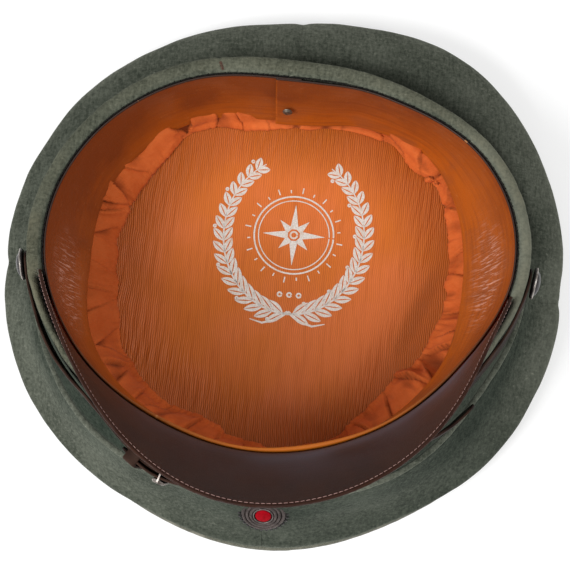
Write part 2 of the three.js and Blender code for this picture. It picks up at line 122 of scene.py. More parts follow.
# Shares of the sizes above, in directions 30 degrees apart, from the right side anticlockwise
COLUMNS = ("opening", "leather", "lining", "crown", "crest", "flank")
ROWS = np.array([
    (1.0, 1.05, 0.9, 0.997, 0.25, 0.6),
    (1.003, 0.66, 1.0, 1.035, 0.65, 0.9),
    (0.894, 0.3, 0.97, 1.03, 0.95, 1.0),
    (0.841, 0.5, 0.876, 0.963, 1.0, 1.0),
    (0.915, 0.38, 0.97, 0.971, 0.85, 0.8),
    (0.974, 0.62, 0.955, 1.003, 0.45, 0.7),
    (0.996, 1.0, 0.94, 1.002, 0.22, 0.6),
    (0.954, 0.62, 0.94, 0.994, 0.12, 0.4),
    (0.907, 0.56, 0.88, 0.955, 0.1, 0.25),
    (0.902, 0.56, 0.905, 0.962, 0.1, 0.2),
    (0.899, 0.56, 0.87, 0.95, 0.1, 0.25),
    (0.922, 0.62, 0.825, 0.982, 0.14, 0.4),
])

# The side cloth's fold: share of the way out, of the overhang, of the rise and of the stand
FOLD_STATIONS = ((0.35, 0, 0.55, 0), (0.6, 0, 1.0, 0), (0.85, 0.6, 0.82, 0.4), (0.97, 1.0, 0.42, 1.0))


# Small tools for numbers and grids of points

def share(column, angle):
    """A smooth periodic value of one column of ROWS."""
    values = ROWS[:, COLUMNS.index(column)]
    place = np.mod(angle, 360) / (360 / len(values))
    first = np.floor(place).astype(int)
    t = place - first
    a, b, c, d = (values[(first + k) % len(values)] for k in (-1, 0, 1, 2))
    bend = (2 * a - 5 * b + 4 * c - d) * t ** 2 + (3 * b - a - 3 * c + d) * t ** 3
    return b + 0.5 * ((c - a) * t + bend)


def smooth(value, low, high):
    t = np.clip((value - low) / (high - low), 0, 1)
    return t * t * (3 - 2 * t)


def bell(value, centre, width):
    return np.exp(-((value - centre) / width) ** 2)


def turned_by(angle, centre):
    """The way round from centre to angle, between -180 and 180 degrees."""
    return (angle - centre + 180) % 360 - 180


def near(angle, centre, wide):
    """1 in one direction, falling to 0 on both sides of it."""
    return bell(turned_by(angle, centre), 0, wide)


def swells(angle, *rows):
    """The sum of swellings round the cap, each a row of height, direction and width."""
    return sum(height * near(angle, centre, wide) for height, centre, wide in rows)


def ring_wave(angle, count, phase):
    """Waves round the cap, count of them in a full turn."""
    return np.sin(np.radians(angle * count) + phase)


def unit(vectors):
    return vectors / np.maximum(np.linalg.norm(vectors, axis=-1, keepdims=True), 1e-9)


def steps_between(points, axis=0):
    return np.linalg.norm(np.diff(points, axis=axis), axis=-1)


def way_along(points):
    """The length from the first point to each point of a line."""
    return np.concatenate([[0], np.cumsum(steps_between(points))])


def direction(angle, across, back):
    turn = np.radians(np.asarray(angle, float))[..., None]
    return across * np.cos(turn) + back * np.sin(turn)


def noise(points, size, seed):
    """Smooth random values between about -1 and 1, with features as large as size."""
    count = 24
    lattice = np.random.default_rng(seed).uniform(-1, 1, (count,) * 3)
    place = np.asarray(points) / size
    cell = np.floor(place).astype(int)
    t = place - cell
    t = t * t * (3 - 2 * t)
    total = 0
    for corner in np.ndindex(2, 2, 2):
        weight = np.prod(np.where(corner, t, 1 - t), axis=-1)
        x, y, z = np.moveaxis((cell + corner) % count, -1, 0)
        total = total + weight * lattice[x, y, z]
    return total


X_AXIS = np.array([1.0, 0, 0])
Y_AXIS = np.array([0, 1.0, 0])
Z_AXIS = np.array([0, 0, 1.0])
RIM_BACK = np.array([0, np.cos(RIM_TILT), -np.sin(RIM_TILT)])
RIM_NORMAL = np.array([0, np.sin(RIM_TILT), np.cos(RIM_TILT)])
BAND_AXIS = np.array([0, np.sin(BAND_LEAN), np.cos(BAND_LEAN)])


def outward(angle):
    """The way out from the middle of the rim, in the rim's plane."""
    return direction(angle, X_AXIS, RIM_BACK)


def band_point(angle, inset, depth):
    """A point by its distance inside the band's inner face and its depth below the rim."""
    angle, inset, depth = np.broadcast_arrays(*(np.asarray(v, float) for v in (angle, inset, depth)))
    flare = BAND_FLARE * np.maximum(depth, 0) / BAND_HEIGHT
    wider = RIGHT_WIDER * near(angle, 8, 20)
    reach = share("opening", angle) * OPENING + wider + flare - inset
    axis = np.where((depth > 0)[..., None], BAND_AXIS, RIM_NORMAL)
    return RIM_CENTRE + outward(angle) * reach[..., None] - axis * depth[..., None]


def crown_point(angle, reach, height):
    angle, reach, height = np.broadcast_arrays(*(np.asarray(v, float) for v in (angle, reach, height)))
    return direction(angle, X_AXIS, Y_AXIS) * reach[..., None] + Z_AXIS * height[..., None]


def soft_line(points, count):
    """Curves through (..., n, 3) points, cut into count + 1 places an equal way apart."""
    before = 2 * points[..., :1, :] - points[..., 1:2, :]
    after = 2 * points[..., -1:, :] - points[..., -2:-1, :]
    p = np.concatenate([before, points, after], axis=-2)
    step = np.sqrt(np.linalg.norm(np.diff(p, axis=-2), axis=-1, keepdims=True))
    t = np.linspace(0, 1, 16, endpoint=False)[:, None]
    spans = []
    for k in range(1, p.shape[-2] - 2):
        p0, p1, p2, p3 = (p[..., k + n, None, :] for n in (-1, 0, 1, 2))
        d0, d1, d2 = (step[..., k + n, None, :] for n in (-1, 0, 1))
        out = ((p1 - p0) / d0 - (p2 - p0) / (d0 + d1) + (p2 - p1) / d1) * d1
        into = ((p2 - p1) / d1 - (p3 - p1) / (d1 + d2) + (p3 - p2) / d2) * d1
        cubic = 2 * p1 - 2 * p2 + out + into
        square = -3 * p1 + 3 * p2 - 2 * out - into
        spans.append(p1 + out * t + square * t ** 2 + cubic * t ** 3)
    dense = np.concatenate(spans + [points[..., -1:, :]], axis=-2)
    made = []
    for line in dense.reshape(-1, dense.shape[-2], 3):
        along = way_along(line)
        wanted = np.linspace(0, along[-1], count + 1)
        made.append(np.stack([np.interp(wanted, along, line[:, axis]) for axis in range(3)], axis=-1))
    return np.array(made).reshape(points.shape[:-2] + (count + 1, 3))


def along_ways(grid, ring):
    if ring:
        return unit(np.roll(grid, -1, axis=0) - np.roll(grid, 1, axis=0))
    return unit(np.gradient(grid, axis=0))


def across_ways(grid):
    return unit(np.gradient(grid, axis=1))


def normals(grid, ring):
    return unit(np.cross(along_ways(grid, ring), across_ways(grid)))


def square_to(point, angle, across, step):
    """The outward way square to a surface that point gives by direction and place across."""
    along = point(angle + 1, across) - point(angle - 1, across)
    down = point(angle, across + step) - point(angle, across - step)
    facing = unit(np.cross(along, down))
    return facing if facing @ outward(angle) > 0 else -facing


# Making meshes

def make_piece(name, points, faces, look, replaces=(), uv=None, values=None, sharp=None):
    """A mesh piece that rides on the cap, with its faces turned outwards."""
    mesh = bpy.data.meshes.new(name)
    mesh.from_pydata((np.asarray(points).reshape(-1, 3) * MM).tolist(), [], faces)
    if uv is not None:
        layer = mesh.uv_layers.new(name="Surface")
        layer.uv.foreach_set("vector", np.asarray(uv, np.float32).ravel())
    for key, value in (values or {}).items():
        attribute = mesh.attributes.new(key, "FLOAT", "POINT")
        attribute.data.foreach_set("value", np.asarray(value, np.float32).ravel())
    work = bmesh.new()
    work.from_mesh(mesh)
    bmesh.ops.recalc_face_normals(work, faces=work.faces)
    work.to_mesh(mesh)
    work.free()
    mesh.shade_smooth()
    if sharp is not None:
        mesh.set_sharp_from_angle(angle=np.radians(sharp))
    mesh.materials.append(look)
    piece = bpy.data.objects.new(name + "_dressed" if replaces else name, mesh)
    bpy.context.scene.collection.objects.link(piece)
    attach(piece, "root")
    if replaces:
        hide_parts(*replaces)
    return piece


def loop_faces(rows, columns, ring):
    """The quads of rows of closed loops, and the two caps where the rows don't close."""
    i, j = np.meshgrid(np.arange(rows if ring else rows - 1), np.arange(columns), indexing="ij")
    ahead = (i + 1) % rows
    beside = (j + 1) % columns
    quads = np.stack([i * columns + j, ahead * columns + j, ahead * columns + beside,
                      i * columns + beside], axis=-1).reshape(-1, 4)
    if ring:
        return quads
    k = np.arange(columns // 2 - 1)
    cap = np.stack([k, k + 1, columns - 2 - k, columns - 1 - k], axis=-1)
    return np.concatenate([quads, cap, cap + (rows - 1) * columns])


def loop_uv(loops, ring, across):
    """Lengths along and across the surface in metres, at each corner of loop_faces."""
    rows, columns = loops.shape[:2]
    closed = np.concatenate([loops, loops[:1]]) if ring else loops
    steps = steps_between(closed).mean(axis=1)
    along = np.concatenate([[0], np.cumsum(steps)])
    spans = rows if ring else rows - 1
    i, j = np.meshgrid(np.arange(spans), np.arange(columns), indexing="ij")
    beside = (j + 1) % columns
    u = np.stack([along[i], along[i + 1], along[i + 1], along[i]], axis=-1)
    v = np.stack([across[j], across[j], across[beside], across[beside]], axis=-1)
    uv = np.stack([u, v], axis=-1).reshape(-1, 4, 2)
    if not ring:
        k = np.arange(columns // 2 - 1)
        corner = across[np.stack([k, k + 1, columns - 2 - k, columns - 1 - k], axis=-1)]
        caps = [np.stack([np.full(corner.shape, end), corner], axis=-1) for end in (along[0], along[-1])]
        uv = np.concatenate([uv] + caps)
    return uv * MM


def make_loops(name, loops, ring, look, replaces=(), across=None, values=None, sharp=None):
    """A closed body from rows of closed loops of points."""
    rows, columns = loops.shape[:2]
    if across is None:
        across = way_along(loops[0])
    faces = loop_faces(rows, columns, ring).tolist()
    uv = loop_uv(loops, ring, across)
    return make_piece(name, loops, faces, look, replaces, uv, values, sharp)


def shell_loops(grid, thickness, ring, corners=4):
    """Loops round a sheet about its middle surface, with round edges."""
    normal = normals(grid, ring)
    over = across_ways(grid)
    half = np.broadcast_to(np.asarray(thickness, float) / 2, grid.shape[:2])[..., None]
    outer = grid + normal * half
    inner = (grid - normal * half)[:, ::-1]
    turn = np.linspace(np.pi / 2, -np.pi / 2, corners + 2)[1:-1, None]
    far = grid[:, -1:] + half[:, -1:] * (over[:, -1:] * np.cos(turn) + normal[:, -1:] * np.sin(turn))
    near = grid[:, :1] - half[:, :1] * (over[:, :1] * np.cos(turn) + normal[:, :1] * np.sin(turn))
    loops = np.concatenate([outer, far, inner, near], axis=1)
    return np.roll(loops, corners // 2, axis=1)


def shell_across(grid, corners=4):
    way = way_along(grid[len(grid) // 2])
    loop = np.concatenate([way, np.full(corners, way[-1]), way[::-1], np.zeros(corners)])
    return np.roll(loop, corners // 2)


def make_shell(name, grid, thickness, ring, look, replaces=(), values=None, corners=4):
    loops = shell_loops(grid, thickness, ring, corners)
    across = shell_across(grid, corners)
    if values:
        spread = {}
        for key, value in values.items():
            value = np.broadcast_to(value, grid.shape[:2])
            ends = [np.repeat(value[:, [k]], corners, axis=1) for k in (-1, 0)]
            whole = np.concatenate([value, ends[0], value[:, ::-1], ends[1]], axis=1)
            spread[key] = np.roll(whole, corners // 2, axis=1)
        values = spread
    return make_loops(name, loops, ring, look, replaces, across, values)


def tube_loops(path, radius, sides, ring, up=Z_AXIS):
    along = along_ways(path[:, None], ring)[:, 0]
    out = unit(np.cross(along, up))
    over = np.cross(out, along)
    turn = np.linspace(0, 2 * np.pi, sides, endpoint=False)[None, :, None]
    radius = np.broadcast_to(np.asarray(radius, float), (len(path),))[:, None, None]
    return path[:, None] + radius * (out[:, None] * np.cos(turn) + over[:, None] * np.sin(turn))


def lathe_loops(profile, count, place, facing, wobble=None):
    """Rings of a turned piece standing at place along facing; the profile holds (radius, height)."""
    side = unit(np.cross(Z_AXIS, facing))
    turn = np.linspace(0, 2 * np.pi, count, endpoint=False)
    way = side * np.cos(turn)[:, None] + np.cross(facing, side) * np.sin(turn)[:, None]
    profile = np.asarray(profile, float)
    radius = np.repeat(profile[:, :1], count, axis=1)
    if wobble is not None:
        radius = radius * (1 + wobble(turn)[None] * (profile[:, 0] > profile[:, 0].max() * 0.93)[:, None])
    return place + way[None] * radius[..., None] + facing * profile[:, 1][:, None, None]


def make_turned(name, profile, count, place, facing, look, wobble=None):
    """A turned ring whose profile closes on itself."""
    rings = lathe_loops(profile, count, place, facing, wobble)
    make_loops(name, np.moveaxis(rings, 0, 1), True, look)


def make_lathe(name, profile, count, place, facing, look, replaces=(), sharp=40):
    """A turned piece, closed by a flat centre at both ends of its profile."""
    rings = lathe_loops(profile, count, place, facing)
    rows = len(rings)
    faces = loop_faces(rows, count, False)[:(rows - 1) * count].tolist()
    ends = [rings[0].mean(axis=0), rings[-1].mean(axis=0)]
    points = np.concatenate([rings.reshape(-1, 3), ends])
    for end, start in ((rows * count, 0), (rows * count + 1, (rows - 1) * count)):
        faces += [[end, start + k, start + (k + 1) % count] for k in range(count)]
    return make_piece(name, points, faces, look, replaces, sharp=sharp)


def join_loops(name, bodies, look, replaces=(), sharp=None):
    """Many small closed bodies in one mesh; each is rows of closed loops with caps."""
    points = []
    faces = []
    start = 0
    for loops in bodies:
        rows, columns = loops.shape[:2]
        points.append(loops.reshape(-1, 3))
        faces.append(loop_faces(rows, columns, False) + start)
        start += rows * columns
    return make_piece(name, np.concatenate(points), np.concatenate(faces).tolist(), look, replaces,
                      sharp=sharp)


def thread(start, end, lift, radius, sides=6, rows=7):
    """A stitch from start to end that bows out by lift."""
    t = np.linspace(0, 1, rows)[:, None]
    path = start + (end - start) * t + lift * np.sin(np.pi * t)
    width = radius * np.sqrt(np.clip(1 - (2 * t[:, 0] - 1) ** 6, 0.15, 1))
    up = unit(np.cross(end - start, lift) + 1e-6)
    return tube_loops(path, width, sides, False, up)


# Materials

class Look:
    """A material made of nodes, fed by the surface's own place and lengths."""

    def __init__(self, name, **sockets):
        self.material = bpy.data.materials.new(name)
        self.material.use_nodes = True
        self.tree = self.material.node_tree
        self.shader = self.tree.nodes["Principled BSDF"]
        for key, value in sockets.items():
            self.shader.inputs[key.replace("_", " ")].default_value = value
        self.place = self.node("ShaderNodeTexCoord").outputs["Object"]
        self.length = self.node("ShaderNodeUVMap", uv_map="Surface").outputs["UV"]

    def node(self, kind, inputs=None, **settings):
        made = self.tree.nodes.new(kind)
        for key, value in settings.items():
            setattr(made, key, value)
        for key, value in (inputs or {}).items():
            self.feed(made.inputs[key], value)
        return made

    def feed(self, socket, value):
        if isinstance(value, bpy.types.NodeSocket):
            self.tree.links.new(value, socket)
        else:
            socket.default_value = value

    def value(self, name):
        return self.node("ShaderNodeAttribute", attribute_name=name).outputs["Fac"]

    def stretched(self, vector, scale, turn=0.0):
        inputs = {"Vector": vector, "Scale": scale, "Rotation": (0, 0, np.radians(turn))}
        return self.node("ShaderNodeMapping", inputs).outputs["Vector"]

    def noise(self, vector, size, detail=2.0, rough=0.5):
        inputs = {"Vector": vector, "Scale": 1 / (size * MM), "Detail": detail, "Roughness": rough}
        return self.node("ShaderNodeTexNoise", inputs).outputs["Fac"]

    def cells(self, vector, size, feature="F1"):
        inputs = {"Vector": vector, "Scale": 1 / (size * MM)}
        return self.node("ShaderNodeTexVoronoi", inputs, feature=feature).outputs["Distance"]

    def math(self, operation, first, second=0.0, clamp=False):
        made = self.node("ShaderNodeMath", {0: first, 1: second}, operation=operation, use_clamp=clamp)
        return made.outputs["Value"]

    def times(self, first, second, clamp=False):
        return self.math("MULTIPLY", first, second, clamp)

    def plus(self, first, second):
        return self.math("ADD", first, second)

    def span(self, value, low, high, to_low=0.0, to_high=1.0):
        inputs = {"Value": value, "From Min": low, "From Max": high, "To Min": to_low, "To Max": to_high}
        return self.node("ShaderNodeMapRange", inputs).outputs["Result"]

    def mix(self, share_of_second, first, second, blend="MIX"):
        made = self.node("ShaderNodeMix", data_type="RGBA", blend_type=blend)
        for socket, value in zip((made.inputs[0], made.inputs[6], made.inputs[7]),
                                 (share_of_second, first, second)):
            self.feed(socket, value)
        return made.outputs[2]

    def blend(self, value, low, high, first, second):
        """The first colour where value is low, the second where it is high."""
        return self.mix(self.span(value, low, high), first, second)

    def veil(self, value, low, high, most, first, second):
        """The first colour, with up to most of the second over it where value is high."""
        return self.mix(self.span(value, low, high, 0.0, most), first, second)

    def part(self, vector, axis):
        return self.node("ShaderNodeSeparateXYZ", {0: vector}).outputs[axis]

    def colour(self, value):
        self.feed(self.shader.inputs["Base Color"], value)

    def rough(self, value):
        self.feed(self.shader.inputs["Roughness"], value)

    def bump(self, height, distance, strength=1.0):
        """Adds a relief whose full height is distance millimetres."""
        before = self.shader.inputs["Normal"].links
        inputs = {"Height": height, "Distance": distance * MM, "Strength": strength}
        if before:
            inputs["Normal"] = before[0].from_socket
        made = self.node("ShaderNodeBump", inputs)
        self.feed(self.shader.inputs["Normal"], made.outputs["Normal"])


def paint(red, green, blue):
    return (red, green, blue, 1.0)


def make_felt(name, dark, light, fleck, fuzz):
    """Milled wool: cloudy colour, short fibres that lie mostly one way, pale flecks and wear, with painted
    light and painted shade where the surface asks for them.
    """
    look = Look(name, Roughness=0.95, Sheen_Weight=fuzz, Sheen_Roughness=0.4,
                Sheen_Tint=paint(0.8, 0.84, 0.7), Specular_IOR_Level=0.4 * fuzz)
    clouds = look.noise(look.place, 24, 3)
    fine = look.noise(look.place, 1.5, 4, 0.72)
    nap = look.noise(look.stretched(look.place, (1, 0.2, 0.45)), 1.0, 3, 0.65)
    cross = look.noise(look.stretched(look.place, (0.3, 1, 0.35), 25), 0.9, 3, 0.6)
    lay = look.plus(look.times(nap, 0.6), look.times(cross, 0.4))
    shade = look.plus(look.times(fine, 0.5), look.times(lay, 0.5))
    shade = look.plus(shade, look.times(clouds, 0.3))
    body = look.blend(shade, 0.535, 0.775, dark, light)
    pale = look.times(look.span(cross, 0.6, 0.72), look.span(fine, 0.52, 0.66), True)
    body = look.mix(look.times(pale, 0.55), body, fleck)
    worn = look.times(look.value("worn"), look.span(fine, 0.3, 0.6, 0.45, 1.0))
    body = look.mix(worn, body, paint(0.155, 0.142, 0.092))
    # Painted light: a paler cloth colour where the surface's pale value is high
    body = look.mix(look.value("pale"), body, paint(0.2, 0.21, 0.17))
    # Painted shade: a dark copy of the cloth's texture, mixed in where the surface's painted shade value is
    # high
    shaded = look.blend(shade, 0.535, 0.775, paint(0.007, 0.012, 0.009), paint(0.026, 0.036, 0.027))
    look.colour(look.mix(look.value("painted_shade"), body, shaded))
    look.bump(lay, 0.7, 0.7)
    look.bump(fine, 0.5, 0.6)
    look.bump(clouds, 1.2, 0.4)
    return look.material


def make_piping_cloth():
    """Smooth worn cord cloth with a fine slanting weave."""
    look = Look("piping cloth", Roughness=0.9, Sheen_Weight=0.2, Specular_IOR_Level=0.2)
    fine = look.noise(look.place, 0.6, 3, 0.6)
    worn = look.noise(look.place, 7, 2)
    body = look.blend(fine, 0.35, 0.65, paint(0.075, 0.078, 0.06), paint(0.15, 0.15, 0.115))
    look.colour(look.veil(worn, 0.5, 0.7, 0.6, body, paint(0.26, 0.25, 0.2)))
    look.bump(fine, 0.3, 0.6)
    return look.material


def make_sweat_leather():
    """Tan leather, darker at its sewn edge, glossy and crackled where the head rubs it, with painted glints
    on the crackle there and painted light and shade round the band.
    """
    look = Look("sweatband leather", Specular_IOR_Level=0.32)
    across = look.part(look.length, "Y")
    streaks = look.noise(look.stretched(look.length, (0.05, 1, 1)), 2.2, 4, 0.6)
    blotches = look.noise(look.place, 20, 3)
    grain = look.cells(look.place, 0.55)
    rubbed_and_painted_glint = look.value("rubbed_and_painted_glint")
    orange = paint(0.40, 0.086, 0.004)
    brown = paint(0.175, 0.034, 0.004)
    violet = paint(0.17, 0.05, 0.022)
    down = look.span(across, 0.003, 0.034)
    tone = look.plus(look.times(down, 0.55), look.times(blotches, 0.9))
    # Painted light at the right side of the band and painted shade at the left and the back
    tone = look.plus(tone, look.value("painted_light_and_shade"))
    body = look.blend(tone, 0.38, 1.0, brown, orange)
    body = look.veil(streaks, 0.45, 0.7, 0.5, body, brown)
    body = look.mix(look.times(look.span(blotches, 0.52, 0.68), 0.4), body, violet)
    sewn = look.times(look.span(across, 0.0011, 0.0004), look.value("sewn"))
    body = look.mix(sewn, body, paint(0.03, 0.014, 0.01))
    bare = look.times(look.span(across, 0.005, 0.0025), look.span(look.value("sewn"), 1.0, 0.0))
    body = look.mix(look.times(bare, 0.8), body, paint(0.52, 0.135, 0.008))
    scratch = look.noise(look.stretched(look.length, (0.3, 3.0, 1), 24), 1.1, 1)
    body = look.veil(scratch, 0.74, 0.78, 0.5, body, paint(0.6, 0.27, 0.1))
    crackle = look.noise(look.stretched(look.length, (1, 0.12, 1)), 0.9, 3, 0.6)
    # Paler where rubbed, and painted highlights: pinkish-white glints on the crackle of the rubbed places
    body = look.mix(look.times(rubbed_and_painted_glint, 0.4), body, paint(0.34, 0.11, 0.05))
    painted_glint = look.times(look.span(crackle, 0.52, 0.64), look.span(rubbed_and_painted_glint, 0.25, 0.9), True)
    look.colour(look.mix(look.times(painted_glint, 0.6), body, paint(0.72, 0.42, 0.33)))
    look.rough(look.math("SUBTRACT", look.span(streaks, 0.3, 0.7, 0.42, 0.58),
                         look.times(rubbed_and_painted_glint, 0.14)))
    look.bump(look.times(crackle, look.span(rubbed_and_painted_glint, 0, 1, 0.1, 1.0)), 0.7, 0.9)
    look.bump(blotches, 0.6, 0.4)
    look.bump(streaks, 0.3, 0.5)
    look.bump(grain, 0.12, 0.4)
    return look.material


def make_dark_leather(name, light, dark, shine, gloss):
    """Brown leather with fine grain, long creases, worn paler edges and a painted bluish sheen."""
    look = Look(name, Specular_IOR_Level=gloss)
    grain = look.cells(look.place, 0.5)
    clouds = look.noise(look.place, 14, 3)
    creases = look.noise(look.stretched(look.length, (0.12, 1, 1)), 1.6, 3, 0.6)
    body = look.blend(clouds, 0.3, 0.7, dark, light)
    body = look.veil(creases, 0.55, 0.75, 0.5, body, dark)
    body = look.mix(look.value("ruddy"), body, paint(0.062, 0.024, 0.016))
    # Painted reflection: a bluish grey sheen of the bright room on the leather
    body = look.mix(look.value("painted_sheen"), body, paint(0.08, 0.082, 0.105))
    look.colour(look.mix(look.times(look.value("worn"), 0.6), body, shine))
    look.rough(look.span(clouds, 0.3, 0.7, 0.4, 0.54))
    look.bump(creases, 0.25, 0.4)
    look.bump(grain, 0.12, 0.45)
    return look.material


def make_cotton():
    """Thin dyed cotton with a plain weave, with painted shade in its creases."""
    look = Look("lining cotton", Roughness=0.85, Sheen_Weight=0.08, Sheen_Tint=paint(1.0, 0.5, 0.3),
                Specular_IOR_Level=0.15)
    clouds = look.noise(look.place, 11, 3)
    weave_x = look.noise(look.stretched(look.length, (0.1, 1, 1)), 0.35, 1)
    weave_y = look.noise(look.stretched(look.length, (1, 0.1, 1)), 0.35, 1)
    weave = look.plus(weave_x, weave_y)
    body = look.blend(clouds, 0.3, 0.7, paint(0.50, 0.088, 0.012), paint(0.62, 0.13, 0.026))
    body = look.veil(weave, 0.8, 1.25, 0.35, body, paint(0.66, 0.17, 0.05))
    # Painted shade: dark brown mixed in where the ring lies in shade
    look.colour(look.mix(look.times(look.value("ring_painted_shade"), 0.85), body, paint(0.12, 0.02, 0.004)))
    look.bump(weave, 0.12, 0.5)
    look.bump(clouds, 0.8, 0.3)
    return look.material


def make_glazed():
    """Glazed ribbed lining: wavy upright ribs, deeper towards the edge, with painted shade in the rib
    grooves, towards the edge, along the valley and in the middle.
    """
    look = Look("glazed lining", Specular_IOR_Level=0.3)
    drift = look.noise(look.place, 16, 2)
    jitter = look.noise(look.place, 2.4, 2)
    across = look.plus(look.part(look.place, "X"), look.times(drift, 3.2 * MM))
    across = look.plus(across, look.times(jitter, 0.5 * MM))
    wave = look.math("SINE", look.times(across, 2 * np.pi / (0.86 * MM)))
    rib = look.span(wave, -1, 1)
    edge = look.value("edge")
    clouds = look.noise(look.place, 30, 3)
    long_marks = look.noise(look.stretched(look.place, (1, 0.07, 1)), 1.5, 3, 0.6)
    body = look.blend(clouds, 0.35, 0.65, paint(0.60, 0.145, 0.010), paint(0.66, 0.16, 0.032))
    body = look.veil(long_marks, 0.5, 0.72, 0.45, body, paint(0.42, 0.09, 0.006))
    # Painted shade in the rib grooves, stronger where the edge value is high
    groove = look.times(look.span(rib, 0.5, 0.05), look.span(edge, 0, 1, 0.28, 0.9))
    body = look.mix(groove, body, paint(0.24, 0.045, 0.003))
    look.colour(look.mix(look.times(edge, 0.5), body, paint(0.30, 0.065, 0.004)))
    look.rough(look.span(long_marks, 0.3, 0.7, 0.45, 0.6))
    look.bump(look.times(rib, look.span(edge, 0, 1, 0.3, 1.0)), 0.25, 0.6)
    look.bump(long_marks, 0.3, 0.3)
    return look.material


def make_metal(name, colour, tarnish, roughness, metal=0.9):
    """Pressed metal with cloudy tarnish and fine scratches."""
    look = Look(name, Metallic=metal)
    clouds = look.noise(look.place, 2.6, 3, 0.6)
    specks = look.noise(look.place, 0.35, 2)
    look.colour(look.blend(clouds, 0.35, 0.65, colour, tarnish))
    look.rough(look.span(clouds, 0.3, 0.7, roughness, roughness + 0.22))
    look.bump(specks, 0.06, 0.5)
    look.bump(clouds, 0.1, 0.5)
    return look.material


def make_enamel():
    look = Look("red enamel", Specular_IOR_Level=0.04)
    clouds = look.noise(look.place, 1.6, 3, 0.6)
    look.colour(look.blend(clouds, 0.3, 0.7, paint(0.31, 0.001, 0.007), paint(0.19, 0.001, 0.004)))
    look.rough(look.span(clouds, 0.3, 0.7, 0.5, 0.65))
    look.bump(clouds, 0.2, 0.6)
    return look.material


def make_thread(name, colour, shade):
    look = Look(name, Roughness=0.8, Specular_IOR_Level=0.1)
    twist = look.noise(look.place, 0.3, 2)
    look.colour(look.blend(twist, 0.35, 0.65, shade, colour))
    look.bump(twist, 0.1, 0.7)
    return look.material


def make_print_powder():
    """Silver bronze powder printed on the lining, a little worn through."""
    look = Look("silver print", Metallic=0.2, Specular_IOR_Level=0.5)
    specks = look.noise(look.place, 0.5, 3, 0.7)
    worn = look.noise(look.place, 5, 3)
    body = look.blend(specks, 0.35, 0.7, paint(0.56, 0.5, 0.44), paint(0.8, 0.76, 0.71))
    look.colour(look.veil(worn, 0.5, 0.72, 0.4, body, paint(0.58, 0.34, 0.2)))
    look.rough(look.span(specks, 0.3, 0.7, 0.4, 0.6))
    look.bump(specks, 0.08, 0.6)
    return look.material


felt = make_felt("grey green felt", paint(0.042, 0.048, 0.036), paint(0.125, 0.133, 0.105),
                 paint(0.3, 0.3, 0.24), 0.16)
band_felt = make_felt("band felt", paint(0.04, 0.046, 0.034), paint(0.125, 0.133, 0.1),
                      paint(0.3, 0.3, 0.24), 0.06)
piping_cloth = make_piping_cloth()
sweat_leather = make_sweat_leather()
peak_leather = make_dark_leather("peak leather", paint(0.032, 0.012, 0.007), paint(0.017, 0.006, 0.004),
                                 paint(0.06, 0.033, 0.026), 0.2)
strap_leather = make_dark_leather("strap leather", paint(0.024, 0.012, 0.009), paint(0.01, 0.005, 0.004),
                                  paint(0.075, 0.042, 0.03), 0.02)
binding_leather = make_dark_leather("binding leather", paint(0.034, 0.013, 0.0075),
                                    paint(0.019, 0.007, 0.0045), paint(0.055, 0.028, 0.022), 0.06)
cotton = make_cotton()
glazed = make_glazed()
dark_metal = make_metal("dark metal", paint(0.022, 0.018, 0.018), paint(0.012, 0.01, 0.01), 0.26, 0.5)
silver_metal = make_metal("silver metal", paint(0.42, 0.39, 0.36), paint(0.16, 0.13, 0.115), 0.3)
dull_metal = make_metal("dull silver metal", paint(0.22, 0.19, 0.18), paint(0.1, 0.085, 0.08), 0.45)
rivet_metal = make_metal("rivet metal", paint(0.3, 0.27, 0.22), paint(0.1, 0.08, 0.06), 0.35)
cockade_metal = make_metal("cockade metal", paint(0.09, 0.07, 0.064), paint(0.038, 0.028, 0.026), 0.42, 0.55)
enamel = make_enamel()
dark_thread = make_thread("dark thread", paint(0.012, 0.01, 0.01), paint(0.006, 0.005, 0.005))
brown_thread = make_thread("brown thread", paint(0.13, 0.05, 0.035), paint(0.06, 0.025, 0.02))
pink_thread = make_thread("pinkish thread", paint(0.4, 0.25, 0.22), paint(0.2, 0.12, 0.105))
silver_print = make_print_powder()


# Crown: the top cloth, its piped edge and four side panels

FOOT_FLARE = 4.5
FRONT_DRAWN_IN = 1.6
SIDE_STEPS = 400
SIDE_ROWS = 64
SEAM_REACH = 110.0


def edge_reach(angle):
    drawn_in = FRONT_DRAWN_IN * near(angle, 271, 40)
    return share("crown", angle) * CROWN - share("flank", angle) * FOLD_OVERHANG - CLOTH / 2 - drawn_in


def foot_flare(angle):
    """How much further out the band's foot stands at both sides of the front."""
    return FOOT_FLARE * swells(angle, (1, 232, 26), (0.9, 307, 24))


def band_seam(angle):
    return band_point(angle, -BAND_WALL - PIPING - foot_flare(angle), BAND_HEIGHT + PIPING * 0.7)


def side_lines(angle):
    """Middle lines of the side cloth, from the band seam over its fold to the crown edge."""
    start = band_seam(angle)
    end = crown_point(angle, edge_reach(angle), EDGE_HEIGHT)
    way = direction(angle, X_AXIS, Y_AXIS)
    hang = (share("flank", angle) * FOLD_OVERHANG)[..., None]
    rise = (share("crest", angle) * FOLD_RISE)[..., None]
    points = [start]
    for along, beyond, lift, stand in FOLD_STATIONS:
        place = start + (end - start) * along + way * beyond * hang
        points.append(place + Z_AXIS * (lift * rise + stand * EDGE_STAND))
    points.append(end)
    return soft_line(np.stack(points, axis=-2), SIDE_STEPS)


